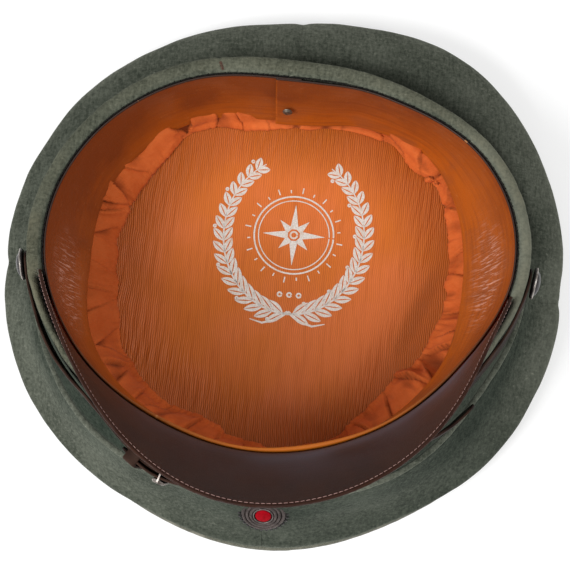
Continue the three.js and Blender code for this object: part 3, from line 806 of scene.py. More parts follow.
# Dents pressed into the side cloth: direction, share of the way out, half sizes and depth
DENTS = (
    (97.0, 0.62, 5.0, 0.22, 1.0),
    (126.0, 0.5, 9.0, 0.18, 0.9),
    (152.0, 0.72, 6.0, 0.25, 0.8),
    (181.0, 0.62, 4.0, 0.3, 1.1),
    (204.0, 0.45, 10.0, 0.2, 0.8),
    (228.0, 0.7, 8.0, 0.3, -0.6),
    (250.0, 0.4, 7.0, 0.25, 0.7),
    (292.0, 0.55, 9.0, 0.25, 0.9),
    (318.0, 0.7, 7.0, 0.3, -0.7),
    (341.0, 0.5, 6.0, 0.3, 0.8),
    (3.0, 0.7, 4.0, 0.3, 1.0),
    (24.0, 0.4, 7.0, 0.2, 0.8),
    (48.0, 0.6, 10.0, 0.3, -0.5),
    (71.0, 0.5, 6.0, 0.25, 0.7),
)


# Spots of painted shade on the side cloth: strength, direction, half width, place and half length
PAINTED_SHADE_SPOTS = (
    (0.26, 280, 50, 0.22, 0.22), (0.78, 62, 42, 0.0, 0.38), (0.6, 345, 26, 0.05, 0.32),
    (0.55, 208, 28, 0.0, 0.26),
)


def felt_tones(angle, out):
    """Painted shade on the side cloth, in its creases, at the front and beside the band, and painted light at
    the right towards its outer edge.
    """
    painted_shade = swells(angle, (0.58, 280, 50), (0.3, 322, 20), (0.14, 58, 30), (0.12, 185, 40))
    for height, centre, wide, place, long in PAINTED_SHADE_SPOTS:
        painted_shade = painted_shade + height * near(angle, centre, wide) * bell(out, place, long)
    painted_shade = painted_shade + 0.34 * near(angle, 146, 40) * (1 - smooth(out, 0.45, 0.85))
    return {"painted_shade": np.clip(painted_shade, 0, 0.85), "pale": 0.34 * near(angle, 4, 30) * smooth(out, 0.3, 0.85)}


def panel_grid(angle, share_out):
    """The middle surface of the side cloth, kept clear of the pipings at both its edges."""
    line = side_lines(angle)
    length = steps_between(line, 1).sum(axis=1)
    clear = ((PIPING + 1.4 * GAP) / length)[:, None]
    place = (clear + (1 - 2 * clear) * share_out) * SIDE_STEPS
    low = np.floor(place).astype(int)
    part = (place - low)[..., None]
    rows = np.arange(len(angle))[:, None]
    return line[rows, low] * (1 - part) + line[rows, np.minimum(low + 1, SIDE_STEPS)] * part


def panel_relief(angle, share_out, grid, from_seam):
    """How far the side cloth stands up from its middle surface: swellings, dents and seam valleys."""
    full = swells(angle, (2.3, 138, 38), (2.5, 50, 27), (1.3, 358, 16))[:, None]
    full = full * bell(share_out, 0.8, 0.3)
    lumps = 0.75 * noise(grid, 34, 3) + 0.3 * noise(grid, 13, 4) + 0.1 * noise(grid, 5, 5)
    for centre, out, wide, long, depth in DENTS:
        lumps = lumps - depth * near(angle, centre, wide)[:, None] * bell(share_out, out, long)
    valley = 0.9 * bell(from_seam, 0, 2.2) + 0.5 * bell(from_seam, 0, 7)
    valley = valley * (1 - 0.6 * smooth(share_out, 0.6, 0.9))
    held = smooth(share_out, 0, 0.12) * smooth(1 - share_out, 0, 0.1)
    return held * (full + lumps - valley)


def make_side_panels():
    names = ("side_panel_back_right", "side_panel_back_left", "side_panel_front_left",
             "side_panel_front_right")
    seam = np.degrees(GAP * 0.25 / (OPENING + BAND_WALL))
    by_seam = np.array([0.12, 0.3, 0.51])
    share_out = np.linspace(0, 1, SIDE_ROWS)[None]
    for k, name in enumerate(names):
        start, end = 90 * k + seam, 90 * (k + 1) - seam
        angle = np.sort(np.concatenate([np.linspace(start, end, 150), start + by_seam, end - by_seam]))
        grid = panel_grid(angle, share_out)
        normal = normals(grid, False)
        if normal[len(angle) // 2, 30, 2] < 0:
            normal = -normal
        from_seam = np.minimum(angle - start, end - angle)[:, None] * np.radians(1) * SEAM_REACH
        grid = grid + normal * panel_relief(angle, share_out, grid, from_seam)[..., None]
        make_shell(name, grid, CLOTH, False, felt, [name], felt_tones(angle[:, None], share_out))


def make_crown_top():
    """The top cloth under the cap, nearly flat where it lies and curving up to its piped edge."""
    turn = np.linspace(0, 360, 240, endpoint=False)
    steps = np.concatenate([np.linspace(0.02, 0.9, 40), np.linspace(0.915, 1, 12)])
    reach = (edge_reach(turn) - PIPING - GAP)[:, None] * steps[None]
    rise = smooth(steps, 0.93, 1) * (EDGE_HEIGHT - CLOTH / 2)
    low = crown_point(turn[:, None], reach, rise[None])
    billow = 0.5 * (noise(low, 40, 11) + 1) + 0.12 * (noise(low, 9, 12) + 1)
    billow = billow * smooth(1 - steps, 0.03, 0.2)[None]
    rest = smooth(np.linalg.norm(low[..., :2], axis=-1), 18, 40)
    low = low + Z_AXIS * (billow * rest)[..., None]
    grid = low + Z_AXIS * (CLOTH / 2)
    loops = shell_loops(grid, CLOTH, True, 6)
    make_loops("crown_top", loops, True, felt, ["crown_top"], shell_across(grid, 6))


def wrinkled_tube(name, path, radius, look, node, seed):
    """A cloth cord that closes on itself, its cover a little uneven."""
    loops = tube_loops(path, radius, 14, True)
    middle = path[:, None]
    uneven = 1 + 0.07 * noise(loops, 5, seed) + 0.05 * noise(loops, 1.8, seed + 1)
    loops = middle + (loops - middle) * uneven[..., None]
    return make_loops(name, loops, True, look, [node])


def make_pipings():
    turn = np.linspace(0, 360, 620, endpoint=False)
    out = 1.7 * near(turn, 271, 40)
    edge = crown_point(turn, edge_reach(turn) + out, EDGE_HEIGHT + 0.5 * out)
    wrinkled_tube("crown_piping", edge, PIPING, piping_cloth, "crown_piping", 21)
    wrinkled_tube("band_piping", band_seam(turn), PIPING * 1.2, felt, "band_piping", 23)


# Band: a stiff cloth ring with a rolled rim, stepped inside where the peak is sewn in

TIP_ARC = PEAK_ARC * PEAK_TIP
BAND_SEAM_ANGLE = 109.8
LEFT_TIP_LESS = 3.0
ROLL_PUFF = 3.1
FRAYED_ANGLE = 190.6


def in_front(angle, ramp=2.4):
    """1 where the peak is sewn in and 0 behind its tips."""
    away = turned_by(angle, 270)
    return 1 - smooth(np.abs(away) - TIP_ARC + LEFT_TIP_LESS * (away < 0), 0, ramp)


def band_profile(turn):
    """The band's section in each direction, as distances inside its inner face and below the rim."""
    front = in_front(turn)[:, None]
    step = PEAK_ROOT_INSET + PEAK_THICKNESS / 2 + GAP
    outer = [(-4.9, 43.3), (-4.5, 40.0), (-4.25, 35.0), (-4.2, 26.0), (-4.25, 20.0), (-4.3, 15.0),
             (-4.4, 11.0), (-4.7, 8.0), (-5.0, 5.5), (-5.2, 3.6), (-5.2, 2.2), (-4.9, 1.0), (-4.3, 0.3)]
    behind = [(-3.5, -0.1), (-2.6, -0.2), (-1.8, 0.0), (-1.1, 0.35), (-0.5, 0.9), (-0.2, 1.6), (-0.1, 2.6),
              (0, 4.0), (0, 5.5)]
    before = [(-4.0, 0.1), (-3.6, 0.1), (-3.2, 0.3), (-2.8, 0.7), (-step, 1.3), (-step, 3.0), (-step, 4.4),
              (-1.2, 4.7), (0, 5.5)]
    inner = [(0, 9.0), (0, 13.0), (0, 18.0), (0, 23.0), (0, 28.0), (0, 33.0), (0, 38.0), (0, 41.5), (0, 44.0)]
    both = [np.array(outer + lip + inner)[None] for lip in (behind, before)]
    profile = both[0] * (1 - front[..., None]) + both[1] * front[..., None]
    puff = swells(turn, (ROLL_PUFF, 95, 55), (0.9, 182, 24)) + 0.25
    high = bell(profile[..., 1], 1.0, 8.0) * smooth(-profile[..., 0], 0.5, 4.5)
    profile[..., 0] -= puff[:, None] * high
    low = smooth(profile[..., 1], 20, 44) * smooth(-profile[..., 0], 1.0, 3.0)
    profile[..., 0] -= foot_flare(turn)[:, None] * low
    return profile


def make_band():
    turn = np.linspace(0, 360, 640, endpoint=False)
    profile = band_profile(turn)
    loops = band_point(turn[:, None], profile[..., 0], profile[..., 1])
    soft = smooth(-profile[..., 0], 0.4, 3.0)
    lumps = 0.22 * noise(loops, 16, 31) + 0.16 * noise(loops, 6, 32) + 0.07 * noise(loops, 2.5, 33)
    near_seam = turned_by(turn, BAND_SEAM_ANGLE)[:, None]
    lumps = lumps - 0.55 * bell(near_seam, 0, 0.35) + 0.25 * bell(near_seam, 0.9, 0.6)
    rim_bumps = 0.12 * noise(loops, 3.2, 34) * smooth(6 - profile[..., 1], 0, 4)
    loops = loops + outward(turn)[:, None] * ((lumps + rim_bumps) * soft)[..., None]
    loops = loops + RIM_NORMAL * (rim_bumps * soft * 0.8)[..., None]
    worn = bell(profile[..., 1], 0.0, 3.0) * smooth(-profile[..., 0], 0.8, 2.4)
    sides = 0.25 + 0.55 * np.maximum(near(turn, 192, 22), near(turn, 15, 30))
    worn = worn * sides[:, None] * (0.75 + 0.35 * noise(loops, 7, 35))
    # Painted shade on the band's outer wall, strongest at the front, and on the left; painted light on the
    # rim at the right
    wall = smooth(-profile[..., 0], 2.5, 4) * smooth(profile[..., 1], 6, 26)
    painted_shade = wall * (0.6 + 0.38 * near(turn, 262, 80))[:, None]
    painted_shade = np.clip(painted_shade + 0.25 * near(turn, 165, 40)[:, None], 0, 0.97)
    pale = 0.3 * near(turn, 5, 35)[:, None] * (1 - wall)
    make_loops("band", loops, True, band_felt, ["band"],
               values={"worn": np.clip(worn, 0, 1), "painted_shade": painted_shade, "pale": pale})


def make_band_seam():
    """Zigzag sewing over the band's upright seam and a small frayed spot on its rim."""
    bodies = []
    for k in range(7):
        depth = -0.15 + k * 0.85
        side = 1 if k % 2 else -1
        inset = -4.4 + 3.6 * np.exp(-depth * 2.2) if depth > 0 else -1.6 - k * 0.6
        for shift in (0.0, 0.42):
            start = band_point(BAND_SEAM_ANGLE - side * 0.42, -1.0 - 0.62 * k - shift, -0.32 + 0.02 * k)
            end = band_point(BAND_SEAM_ANGLE + side * 0.42, -1.3 - 0.62 * k - shift, -0.32 + 0.02 * k)
            bodies.append(thread(start, end, RIM_NORMAL * 0.1, 0.1))
        if depth > 1:
            start = band_point(BAND_SEAM_ANGLE - 0.3, inset - 0.9, depth)
            end = band_point(BAND_SEAM_ANGLE + 0.3, inset - 0.9, depth + 0.5)
            bodies.append(thread(start, end, outward(BAND_SEAM_ANGLE) * 0.2, 0.16))
    join_loops("band_seam_thread", bodies, brown_thread)
    rng = np.random.default_rng(41)
    tufts = []
    for _ in range(26):
        angle = FRAYED_ANGLE + rng.normal(0, 0.7)
        inset = -2.4 + rng.normal(0, 0.7)
        start = band_point(angle, inset, -0.15)
        end = band_point(angle + rng.normal(0.5, 0.5), inset + rng.normal(0, 0.6), -0.5)
        tufts.append(thread(start, end, RIM_NORMAL * 0.35, 0.07, 5, 5))
    join_loops("rim_frayed_wool", tufts, piping_cloth)


def make_rim_thread():
    """Dark overcast sewing that holds the sweatband to the rim, behind the peak's tips."""
    bodies = []
    pitch = 1.55
    span = np.arange(270 + TIP_ARC + 1.5, 270 + 360 - TIP_ARC - 1.5 + LEFT_TIP_LESS, pitch)
    rng = np.random.default_rng(43)
    for angle in span:
        angle = angle + rng.normal(0, 0.12)
        start = band_point(angle, -0.35 + rng.normal(0, 0.12), 0.75)
        end = band_point(angle + pitch * 0.7, 0.8 + rng.normal(0, 0.12), 0.95)
        bodies.append(thread(start, end, RIM_NORMAL * 0.3, 0.14))
        place, ahead = (band_point(a, 0.15 + rng.normal(0, 0.06), 0.8) for a in (angle, angle + pitch * 1.05))
        bodies.append(thread(place, ahead, RIM_NORMAL * 0.1, 0.22))
    join_loops("rim_thread", bodies, dark_thread)


# Sweatband: a leather strip sewn inside the rim, its ends lapped and riveted at the back

BACK_LEAN_LESS = 2.6


def leather_lift(angle):
    reach = LEATHER + GAP
    return reach * smooth(angle, LEATHER_END - LEATHER_RAMP, LEATHER_END - LEATHER_RAMP / 2)


def sweat_point(angle, t, lift):
    t = np.asarray(t, float)
    lean = share("leather", angle) * LEATHER_LEAN * t ** LEATHER_CURL
    depth = LEATHER_TOP + (LEATHER_WIDTH - LEATHER_TOP) * t
    lean = lean + swells(angle, (3.2, 12, 22), (-3.4, 47, 13)) * t ** 1.6
    return band_point(angle, GAP + LEATHER / 2 + lean + lift, depth)


# Creases pressed across the sweatband: direction, slant in degrees, half width and depth
LEATHER_CREASES = (
    (176.0, 2.0, 1.3, 0.45), (184.0, -3.0, 1.1, 0.5), (192.0, 2.0, 1.6, 0.4), (205.0, 4.0, 2.0, 0.35),
    (352.0, -3.0, 1.4, 0.45), (359.0, 2.0, 1.2, 0.5), (7.0, 3.0, 1.7, 0.4), (20.0, -2.0, 2.2, 0.3),
    (60.0, 3.0, 2.4, 0.25), (130.0, -3.0, 2.6, 0.25),
)


def leather_waves(angle, t, grid):
    """How far the leather stands in from its smooth slant: waves, creases and a curled lower edge."""
    waves = 0.35 * noise(grid, 26, 51) + 0.16 * noise(grid, 9, 52)
    for centre, slant, wide, depth in LEATHER_CREASES:
        away = turned_by(angle, centre)[:, None] + slant * (t[None] - 0.5)
        waves = waves - depth * bell(away, 0, wide) * bell(t[None], 0.6, 0.35)
    return waves + 0.5 * smooth(t, 0.86, 1)[None] * (0.6 + noise(grid, 30, 53))


def make_sweatband():
    angle = np.linspace(LEATHER_START, LEATHER_END, 580)
    t = np.linspace(0, 1, 44)
    lift = leather_lift(angle)[:, None] * (0.4 + 0.6 * smooth(t, 0, 0.35)[None])
    back = near(angle, 84, 34)[:, None] * smooth(t, 0.2, 1)[None]
    grid = sweat_point(angle[:, None], t[None], lift - BACK_LEAN_LESS * back)
    into = -outward(angle)[:, None]
    free = smooth(t, 0.04, 0.3)[None]
    lapped = smooth(angle, LEATHER_END - LEATHER_RAMP, LEATHER_END - LEATHER_RAMP / 2)
    under = 1 - smooth(angle, LEATHER_START + 8, LEATHER_START + 14)
    still = 1 - np.maximum(lapped, under)[:, None]
    grid = grid + into * (free * still * leather_waves(angle, t, grid))[..., None]
    # Places rubbed by the head: glossier and crackled, and carrying painted glints on their crackle
    rubbed_and_painted_glint = np.maximum(near(angle, 2, 17), near(angle, 190, 15))[:, None]
    rubbed_and_painted_glint = rubbed_and_painted_glint * bell(t[None], 0.58, 0.3)
    bare = np.minimum(in_front(angle, 8), near(angle, 276, 46))
    fold = (1.1 + 0.25 * ring_wave(angle, 9, 1)) * bare
    fold = fold[:, None] * (1 - smooth(t, 0, 0.14))
    grid = grid + into * fold[..., None] * 0.5 + RIM_NORMAL * fold[..., None] * 0.7
    thickness = LEATHER * (0.5 + 0.5 * smooth(t, 0, 0.3)) + fold
    # Painted light and shade round the band: lighter at the right, darker at the left and the back, and a
    # fixed lighter tone on the lapped end
    painted_light_and_shade = swells(angle, (0.24, 8, 32), (-0.42, 172, 44), (-0.16, 95, 30))
    painted_light_and_shade = np.where(angle > LEATHER_END - 0.35, 0.3, painted_light_and_shade)
    make_shell("sweatband", grid, thickness, False, sweat_leather, ["sweatband"],
               {"rubbed_and_painted_glint": rubbed_and_painted_glint, "sewn": (1 - bare)[:, None], "painted_light_and_shade": painted_light_and_shade[:, None]})


def make_rivet():
    angle = (LEATHER_START + LEATHER_END - 360) / 2
    t = (RIVET_DEPTH - LEATHER_TOP) / (LEATHER_WIDTH - LEATHER_TOP)
    seat = LEATHER + GAP + LEATHER / 2 + 0.1
    place = sweat_point(angle, t, seat)
    facing = -square_to(lambda turn, share_down: sweat_point(turn, share_down, seat), angle, t, 0.05)
    profile = [(0.05, 0), (2.05, 0), (2.15, 0.15), (2.15, 0.4), (2.0, 0.55), (1.7, 0.62), (1.55, 0.72),
               (1.3, 0.92), (0.9, 1.08), (0.45, 1.16), (0.05, 1.18)]
    make_lathe("sweatband_rivet", profile, 40, place, facing, rivet_metal, ["sweatband_rivet"])


# Lining: a gathered cotton ring from behind the sweatband, and a glazed ribbed bottom

DISC_HEIGHT = LINING_HEIGHT + LINING_THICKNESS


# A broad soft valley pressed into the glazed bottom at the right
VALLEY = ((70.0, 16.0), (50.0, -34.0))
VALLEY_DEPTH = 2.3


def lining_reach(angle):
    return share("lining", angle) * LINING


def in_valley(x, y, wide, long):
    """1 in the middle of the valley, falling to 0 across it and towards both its ends."""
    (x0, y0), (x1, y1) = VALLEY
    length = np.hypot(x1 - x0, y1 - y0)
    away = ((x - x0) * (y1 - y0) - (y - y0) * (x1 - x0)) / length
    part = ((x - x0) * (x1 - x0) + (y - y0) * (y1 - y0)) / length ** 2
    return bell(away, 0, wide) * bell(part, 0.45, long)


def disc_lift(x, y):
    """How far the glazed bottom pillows and ripples up from flat, in millimetres."""
    points = np.stack([x, y, np.zeros_like(x)], axis=-1)
    angle = np.degrees(np.arctan2(y, x))
    out = np.hypot(x, y) / lining_reach(angle)
    edge = smooth(out, 0.55, 0.98)
    pillow = 1.3 * (1 - smooth(out, 0.0, 1.0)) + 0.35 * noise(points, 38, 61)
    wander = x + 1.6 * noise(points, 17, 62) - 0.1 * y
    folds = 0.17 * edge * np.sin(wander * 2 * np.pi / 1.75) * (0.6 + 0.4 * noise(points, 14, 63))
    broad = 0.3 * edge * np.sin(wander * 2 * np.pi / 5.2 + 1) * noise(points, 12, 64)
    valley = VALLEY_DEPTH * in_valley(x, y, 5.0, 0.7)
    settle = 1 - smooth(out, 0.985, 1.02)
    return np.maximum(pillow + folds + broad - valley, -0.25) * settle


def make_crown_lining():
    turn = np.linspace(0, 360, 300, endpoint=False)
    columns = np.linspace(-0.9975, 0.9975, 560)
    outline = crown_point(turn, lining_reach(turn) + LINING_LAP, 0)
    left, right = outline[:, 0].min(), outline[:, 0].max()
    x = (left + right) / 2 + (right - left) / 2 * columns
    back, front = outline[:151], np.concatenate([outline[150:], outline[:1]])
    high = np.interp(x, back[::-1, 0], back[::-1, 1])
    low = np.interp(x, front[:, 0], front[:, 1])
    rows = np.linspace(0, 1, 82)
    y = low[:, None] + (high - low)[:, None] * rows[None]
    x = np.repeat(x[:, None], len(rows), axis=1)
    angle = np.degrees(np.arctan2(y, x))
    out = np.hypot(x, y) / lining_reach(angle)
    top = np.stack([x, y, DISC_HEIGHT + disc_lift(x, y)], axis=-1)
    below = top - Z_AXIS * 0.6
    loops = np.concatenate([top, below[:, ::-1]], axis=1)
    # Painted shade on the glazed bottom: darker towards its edge under the gathered ring, along the valley
    # and in its middle
    edge = np.maximum(smooth(out, 0.6, 1.0), 1.5 * in_valley(x, y, 5.5, 0.65))
    edge = edge + 0.35 * bell(np.hypot(x, y + 4), 0, 26)
    across = np.concatenate([y[280], y[280, ::-1]])
    values = {"edge": np.concatenate([edge, edge[:, ::-1]], axis=1)}
    disc = make_loops("crown_lining", loops, False, glazed, ["crown_lining"], across, values)


# The gathered ring's inner edge runs straight between these corners: direction and reach
RING_CORNERS = np.array([
    (0, 72), (14, 74.5), (26, 79), (34, 83.5), (38, 84.5), (40, 80), (47, 77), (54, 78.5), (60, 81), (65, 79),
    (74, 75), (84, 71.5), (97, 70.5), (109, 73), (119, 78.5), (123, 81), (129, 80), (139, 78), (147, 77),
    (153, 77), (160, 80.5), (166, 79), (175, 75), (194, 74), (207, 76), (219, 74.5), (228, 77.5), (231, 76.5),
    (233, 71.5), (239, 70), (251, 69), (253, 71.5), (270, 73.5), (284, 74), (294, 72), (307, 66.5), (318, 65),
    (326, 64.5), (331, 67), (343, 71), (352, 71), (360, 72),
])

# Folds of the gathered ring: direction, slant in degrees from top to bottom, length of the slope in
# degrees, height, the share of the way down where each is highest, and the side of its sharp edge
RING_FOLDS = (
    (74.5, 1.0, 2.2, 1.6, 0.75, 1), (88.0, -1.0, 3.0, 0.9, 0.7, -1), (99.9, 1.0, 2.5, 1.2, 0.7, 1),
    (108.4, 1.5, 2.5, 1.7, 0.7, -1), (116.0, -6.0, 3.0, 1.4, 0.7, 1), (123.5, -9.0, 3.4, 2.0, 0.6, -1),
    (129.0, 7.0, 3.0, 1.8, 0.6, 1), (147.0, 8.0, 3.4, 1.2, 0.6, -1), (155.5, -9.0, 3.0, 2.5, 0.65, 1),
    (159.5, 5.0, 1.8, 2.3, 0.5, -1), (163.0, 10.0, 2.4, 2.0, 0.55, 1), (170.0, 12.0, 3.4, 1.3, 0.55, -1),
    (179.0, -9.0, 3.8, 0.9, 0.6, 1), (187.0, -4.0, 2.6, 1.2, 0.6, -1), (195.0, 10.0, 3.0, 1.2, 0.5, 1),
    (203.5, 11.0, 2.6, 1.9, 0.6, -1), (207.0, -9.0, 2.0, 1.7, 0.6, 1), (212.0, -5.0, 2.4, 1.9, 0.6, -1),
    (218.0, 9.0, 2.0, 1.5, 0.5, 1), (224.5, 6.0, 2.2, 1.9, 0.6, -1), (230.8, -5.0, 2.0, 1.7, 0.6, 1),
    (243.5, -1.0, 2.0, 1.6, 0.6, -1), (253.0, 4.0, 2.0, 1.3, 0.6, 1), (262.0, 5.0, 2.5, 1.1, 0.6, -1),
    (276.0, 4.0, 3.0, 0.8, 0.5, 1), (292.0, -5.0, 3.0, 1.1, 0.6, -1), (303.0, 7.0, 2.4, 1.3, 0.6, 1),
    (313.0, -9.0, 2.8, 1.5, 0.6, -1), (325.5, 5.0, 2.2, 2.3, 0.7, 1), (330.5, -10.0, 2.4, 1.7, 0.55, -1),
    (341.5, 11.0, 2.2, 2.0, 0.6, 1), (346.5, 7.0, 1.8, 1.6, 0.45, -1), (355.0, 5.0, 3.0, 1.1, 0.6, 1),
    (5.0, -6.0, 2.6, 1.3, 0.6, -1), (15.0, 6.0, 2.4, 1.3, 0.6, 1), (26.0, -9.0, 2.4, 1.8, 0.6, -1),
    (34.5, 9.0, 1.9, 2.3, 0.5, 1), (39.5, -6.0, 1.8, 2.6, 0.65, -1), (47.0, 9.0, 3.0, 1.4, 0.55, 1),
    (56.0, 14.0, 2.6, 2.4, 0.5, -1), (63.0, 9.0, 2.4, 1.5, 0.6, 1),
)


def hem_reach(angle):
    """The reach of the ring's inner edge, on straight lines from corner to corner."""
    angle = np.mod(angle, 360)
    first = np.clip(np.searchsorted(RING_CORNERS[:, 0], angle, side="right") - 1, 0, len(RING_CORNERS) - 2)
    turn = np.radians(RING_CORNERS[:, 0])
    x = RING_CORNERS[:, 1] * np.cos(turn)
    y = RING_CORNERS[:, 1] * np.sin(turn)
    x0, y0, x1, y1 = x[first], y[first], x[first + 1], y[first + 1]
    across = np.cos(np.radians(angle)) * (y1 - y0) - np.sin(np.radians(angle)) * (x1 - x0)
    return (x0 * y1 - y0 * x1) / across


def ring_grid(columns, rows):
    angle = np.linspace(0, 360, columns, endpoint=False)
    reach = np.minimum(hem_reach(angle), lining_reach(angle) + LINING_LAP - 2.0)
    top = band_point(angle, GAP + LINING_THICKNESS / 2, LINING_TOP)
    low = band_point(angle, GAP + 2 * LINING_THICKNESS, LINING_BEND)
    floor = DISC_HEIGHT + GAP + LINING_THICKNESS / 2
    puff = 0.5 + 0.25 * (ring_wave(angle, 17, 0) + 0.6 * ring_wave(angle, 7, 0))
    rise = PUCKER_RISE * (1 - 0.75 * near(angle, 72, 26))
    foot = crown_point(angle, reach + 2.6, floor + rise * (0.75 + puff))
    edge = crown_point(angle, reach, floor + 0.4)
    knee = low * 0.45 + foot * 0.55 + Z_AXIS * (rise * (0.8 + puff))[:, None]
    hem = crown_point(angle, reach + 0.8, floor - 0.5)
    return angle, soft_line(np.stack([top, low, knee, foot, edge, hem], axis=-2), rows - 1)


def crumple(angle, t):
    """Sharp ridges that run mostly down the ring, in three sizes."""
    turn, down = np.broadcast_arrays(np.radians(angle)[:, None], 14 * t)
    around = np.stack([75 * np.cos(turn), 75 * np.sin(turn), down], axis=-1)
    total = 0
    for size, height, seed in ((15, 1.5, 71), (7.5, 0.8, 72), (3.4, 0.26, 73)):
        total = total + height * (1 - 2.4 * np.abs(noise(around, size, seed)))
    return total


def gathers(angle, t):
    """The height of the gathered cloth, and the painted shade in the folds' sharp sides, in low places and on
    the left side.
    """
    depth = crumple(angle, t)
    ring_painted_shade = np.zeros(depth.shape)
    for centre, slant, slope, height, place, side in RING_FOLDS:
        away = side * (turned_by(angle, centre)[:, None] + slant * (t - place))
        inside = bell(t, place, 0.32)
        over = np.where(away >= 0, np.exp(-np.abs(away) / slope), -0.4 * np.exp(away / (0.45 * slope)))
        depth = depth + 1.35 * height * over * inside
        shade = np.where(away < 0, np.exp(away / 0.55), np.exp(-away / 0.12))
        ring_painted_shade = np.maximum(ring_painted_shade, shade * inside ** 2 * min(height / 2.2, 1))
    spread = sum(np.roll(depth, k, axis=0) for k in range(-16, 17, 2)) / 17
    ring_painted_shade = np.maximum(ring_painted_shade, np.clip((spread - depth - 0.2) / 1.5, 0, 1) * smooth(t, 0.2, 0.5))
    return depth, np.maximum(ring_painted_shade, 0.42 * near(angle, 192, 42)[:, None])


# The shade behind the leather's lower edge: how far it starts past the edge and how it fades
SLIT_PAST = 3.0
SLIT_FADE = 1.5


def heading_and_reach(points):
    return np.degrees(np.arctan2(points[..., 1], points[..., 0])), np.hypot(points[..., 0], points[..., 1])


def slit_shade(angle, grid):
    """The shade on the gathered ring where it goes in behind the leather's lower edge."""
    heading, reach = heading_and_reach(sweat_point(angle, 1.0, 0.0))
    order = np.argsort(heading)
    ring_heading, ring_reach = heading_and_reach(grid)
    past = np.interp(ring_heading, heading[order], reach[order], period=360) + SLIT_PAST - ring_reach
    strength = 0.45 + 0.55 * near(angle, 162, 36)[:, None]
    return strength * np.exp(-np.maximum(past, 0) / SLIT_FADE)


def make_side_lining():
    angle, grid = ring_grid(1000, 46)
    t = np.linspace(0, 1, grid.shape[1])[None]
    normal = normals(grid, True)
    if normal[0, 30, 2] < 0:
        normal = -normal
    depth, ring_painted_shade = gathers(angle, t)
    slit = slit_shade(angle, grid)
    calm = np.maximum(0.6 * near(angle, 94, 30), 0.9 * near(angle, 76, 20))[:, None]
    pucker = 0.3 * np.abs(ring_wave(angle, 61, 0) + ring_wave(angle, 97, 1))[:, None] * smooth(t, 0.7, 0.95)
    held = smooth(t, 0.1, 0.42) * smooth(1 - t, 0.0, 0.06)
    grid = grid + normal * ((depth - pucker) * (1 - calm) * held)[..., None]
    floor = DISC_HEIGHT + disc_lift(grid[..., 0], grid[..., 1]) + LINING_THICKNESS / 2 + 0.05
    inside = np.hypot(grid[..., 0], grid[..., 1]) < (lining_reach(angle) + LINING_LAP)[:, None]
    grid[..., 2] = np.where(inside, np.maximum(grid[..., 2], floor), grid[..., 2])
    # The ring's painted shade: in the folds, on the left side and behind the leather's lower edge
    ring = make_shell("side_lining", grid, 0.8, True, cotton, ["side_lining"],
                      {"ring_painted_shade": np.maximum(ring_painted_shade * held, slit)})


# The printed mark on the glazed bottom: a laurel wreath round a star, in flat strips

PRINT_CENTRE = np.array([3.0, 22.0])
PRINT_THICKNESS = 0.12
WREATH_WIDE, WREATH_HIGH = 31.0, 35.5
LEAF_PAIRS = 17
LEAF_LENGTH, LEAF_WIDTH, LEAF_LEAN = 8.6, 3.2, 0.62
STAR_POINTS = 8
STAR_LONG, STAR_SHORT, STAR_HOLE = 13.6, 9.0, 2.6
RAYS = 24
DOTS_APART = 4.2


def print_strip(path, width):
    """A flat printed strip along a path of x and y, laid on the rippled bottom."""
    path = np.asarray(path, float)
    width = np.broadcast_to(np.asarray(width, float), (len(path),))[:, None] / 2
    way = unit(np.gradient(path, axis=0))
    side = np.stack([-way[:, 1], way[:, 0]], axis=-1) * width
    flat = np.stack([path - side, path + side], axis=1) + PRINT_CENTRE
    level = DISC_HEIGHT + disc_lift(flat[..., 0], flat[..., 1]) - 0.03
    low = np.concatenate([flat, level[..., None]], axis=-1)
    high = low + Z_AXIS * PRINT_THICKNESS
    return np.concatenate([low, high[:, ::-1]], axis=1)


def arc_path(radius_x, radius_y, start, end, count, centre=(0.0, 0.0)):
    turn = np.radians(np.linspace(start, end, count))
    return np.stack([centre[0] + radius_x * np.cos(turn), centre[1] + radius_y * np.sin(turn)], axis=-1)


def leaf(root, heading, length, width):
    """A pointed leaf with a bare line down its middle."""
    t = np.linspace(0, 1, 9)[:, None]
    way = np.array([np.cos(heading), np.sin(heading)])
    side = np.array([-way[1], way[0]])
    halves = []
    for sign in (-1, 1):
        bow = sign * (0.27 * width * np.sin(np.pi * t) + 0.1)
        halves.append(print_strip(root + way * length * t + side * bow,
                                  0.42 * width * np.sin(np.pi * t[:, 0]) ** 0.8 + 0.06))
    return halves


def side_wreath(sign):
    """One side of the wreath: a stem with pairs of leaves, berries and a curled tail."""
    stem = arc_path(WREATH_WIDE * sign, WREATH_HIGH, -97, 62, 70)
    bodies = [print_strip(stem, np.linspace(1.0, 0.45, 70))]
    for k in range(LEAF_PAIRS):
        turn = np.radians(-86 + k * 8.7)
        root = np.array([sign * WREATH_WIDE * np.cos(turn), WREATH_HIGH * np.sin(turn)])
        ahead = np.arctan2(WREATH_HIGH * np.cos(turn), -sign * WREATH_WIDE * np.sin(turn))
        for lean in (-LEAF_LEAN, LEAF_LEAN):
            bodies += leaf(root, ahead + lean, LEAF_LENGTH - 0.17 * k, LEAF_WIDTH)
        if k % 3 == 1:
            berry = root + 4.2 * np.array([np.cos(ahead + 1.35), np.sin(ahead + 1.35)])
            bodies.append(print_strip(arc_path(0.55, 0.55, 0, 350, 12, berry), 0.7))
    tail = np.array([[0.0, -34.5], [5.0, -38.5], [11.0, -40.2], [16.5, -38.8]]) * (sign, 1)
    return bodies + [print_strip(tail, np.array([1.3, 1.1, 0.9, 0.4]))]


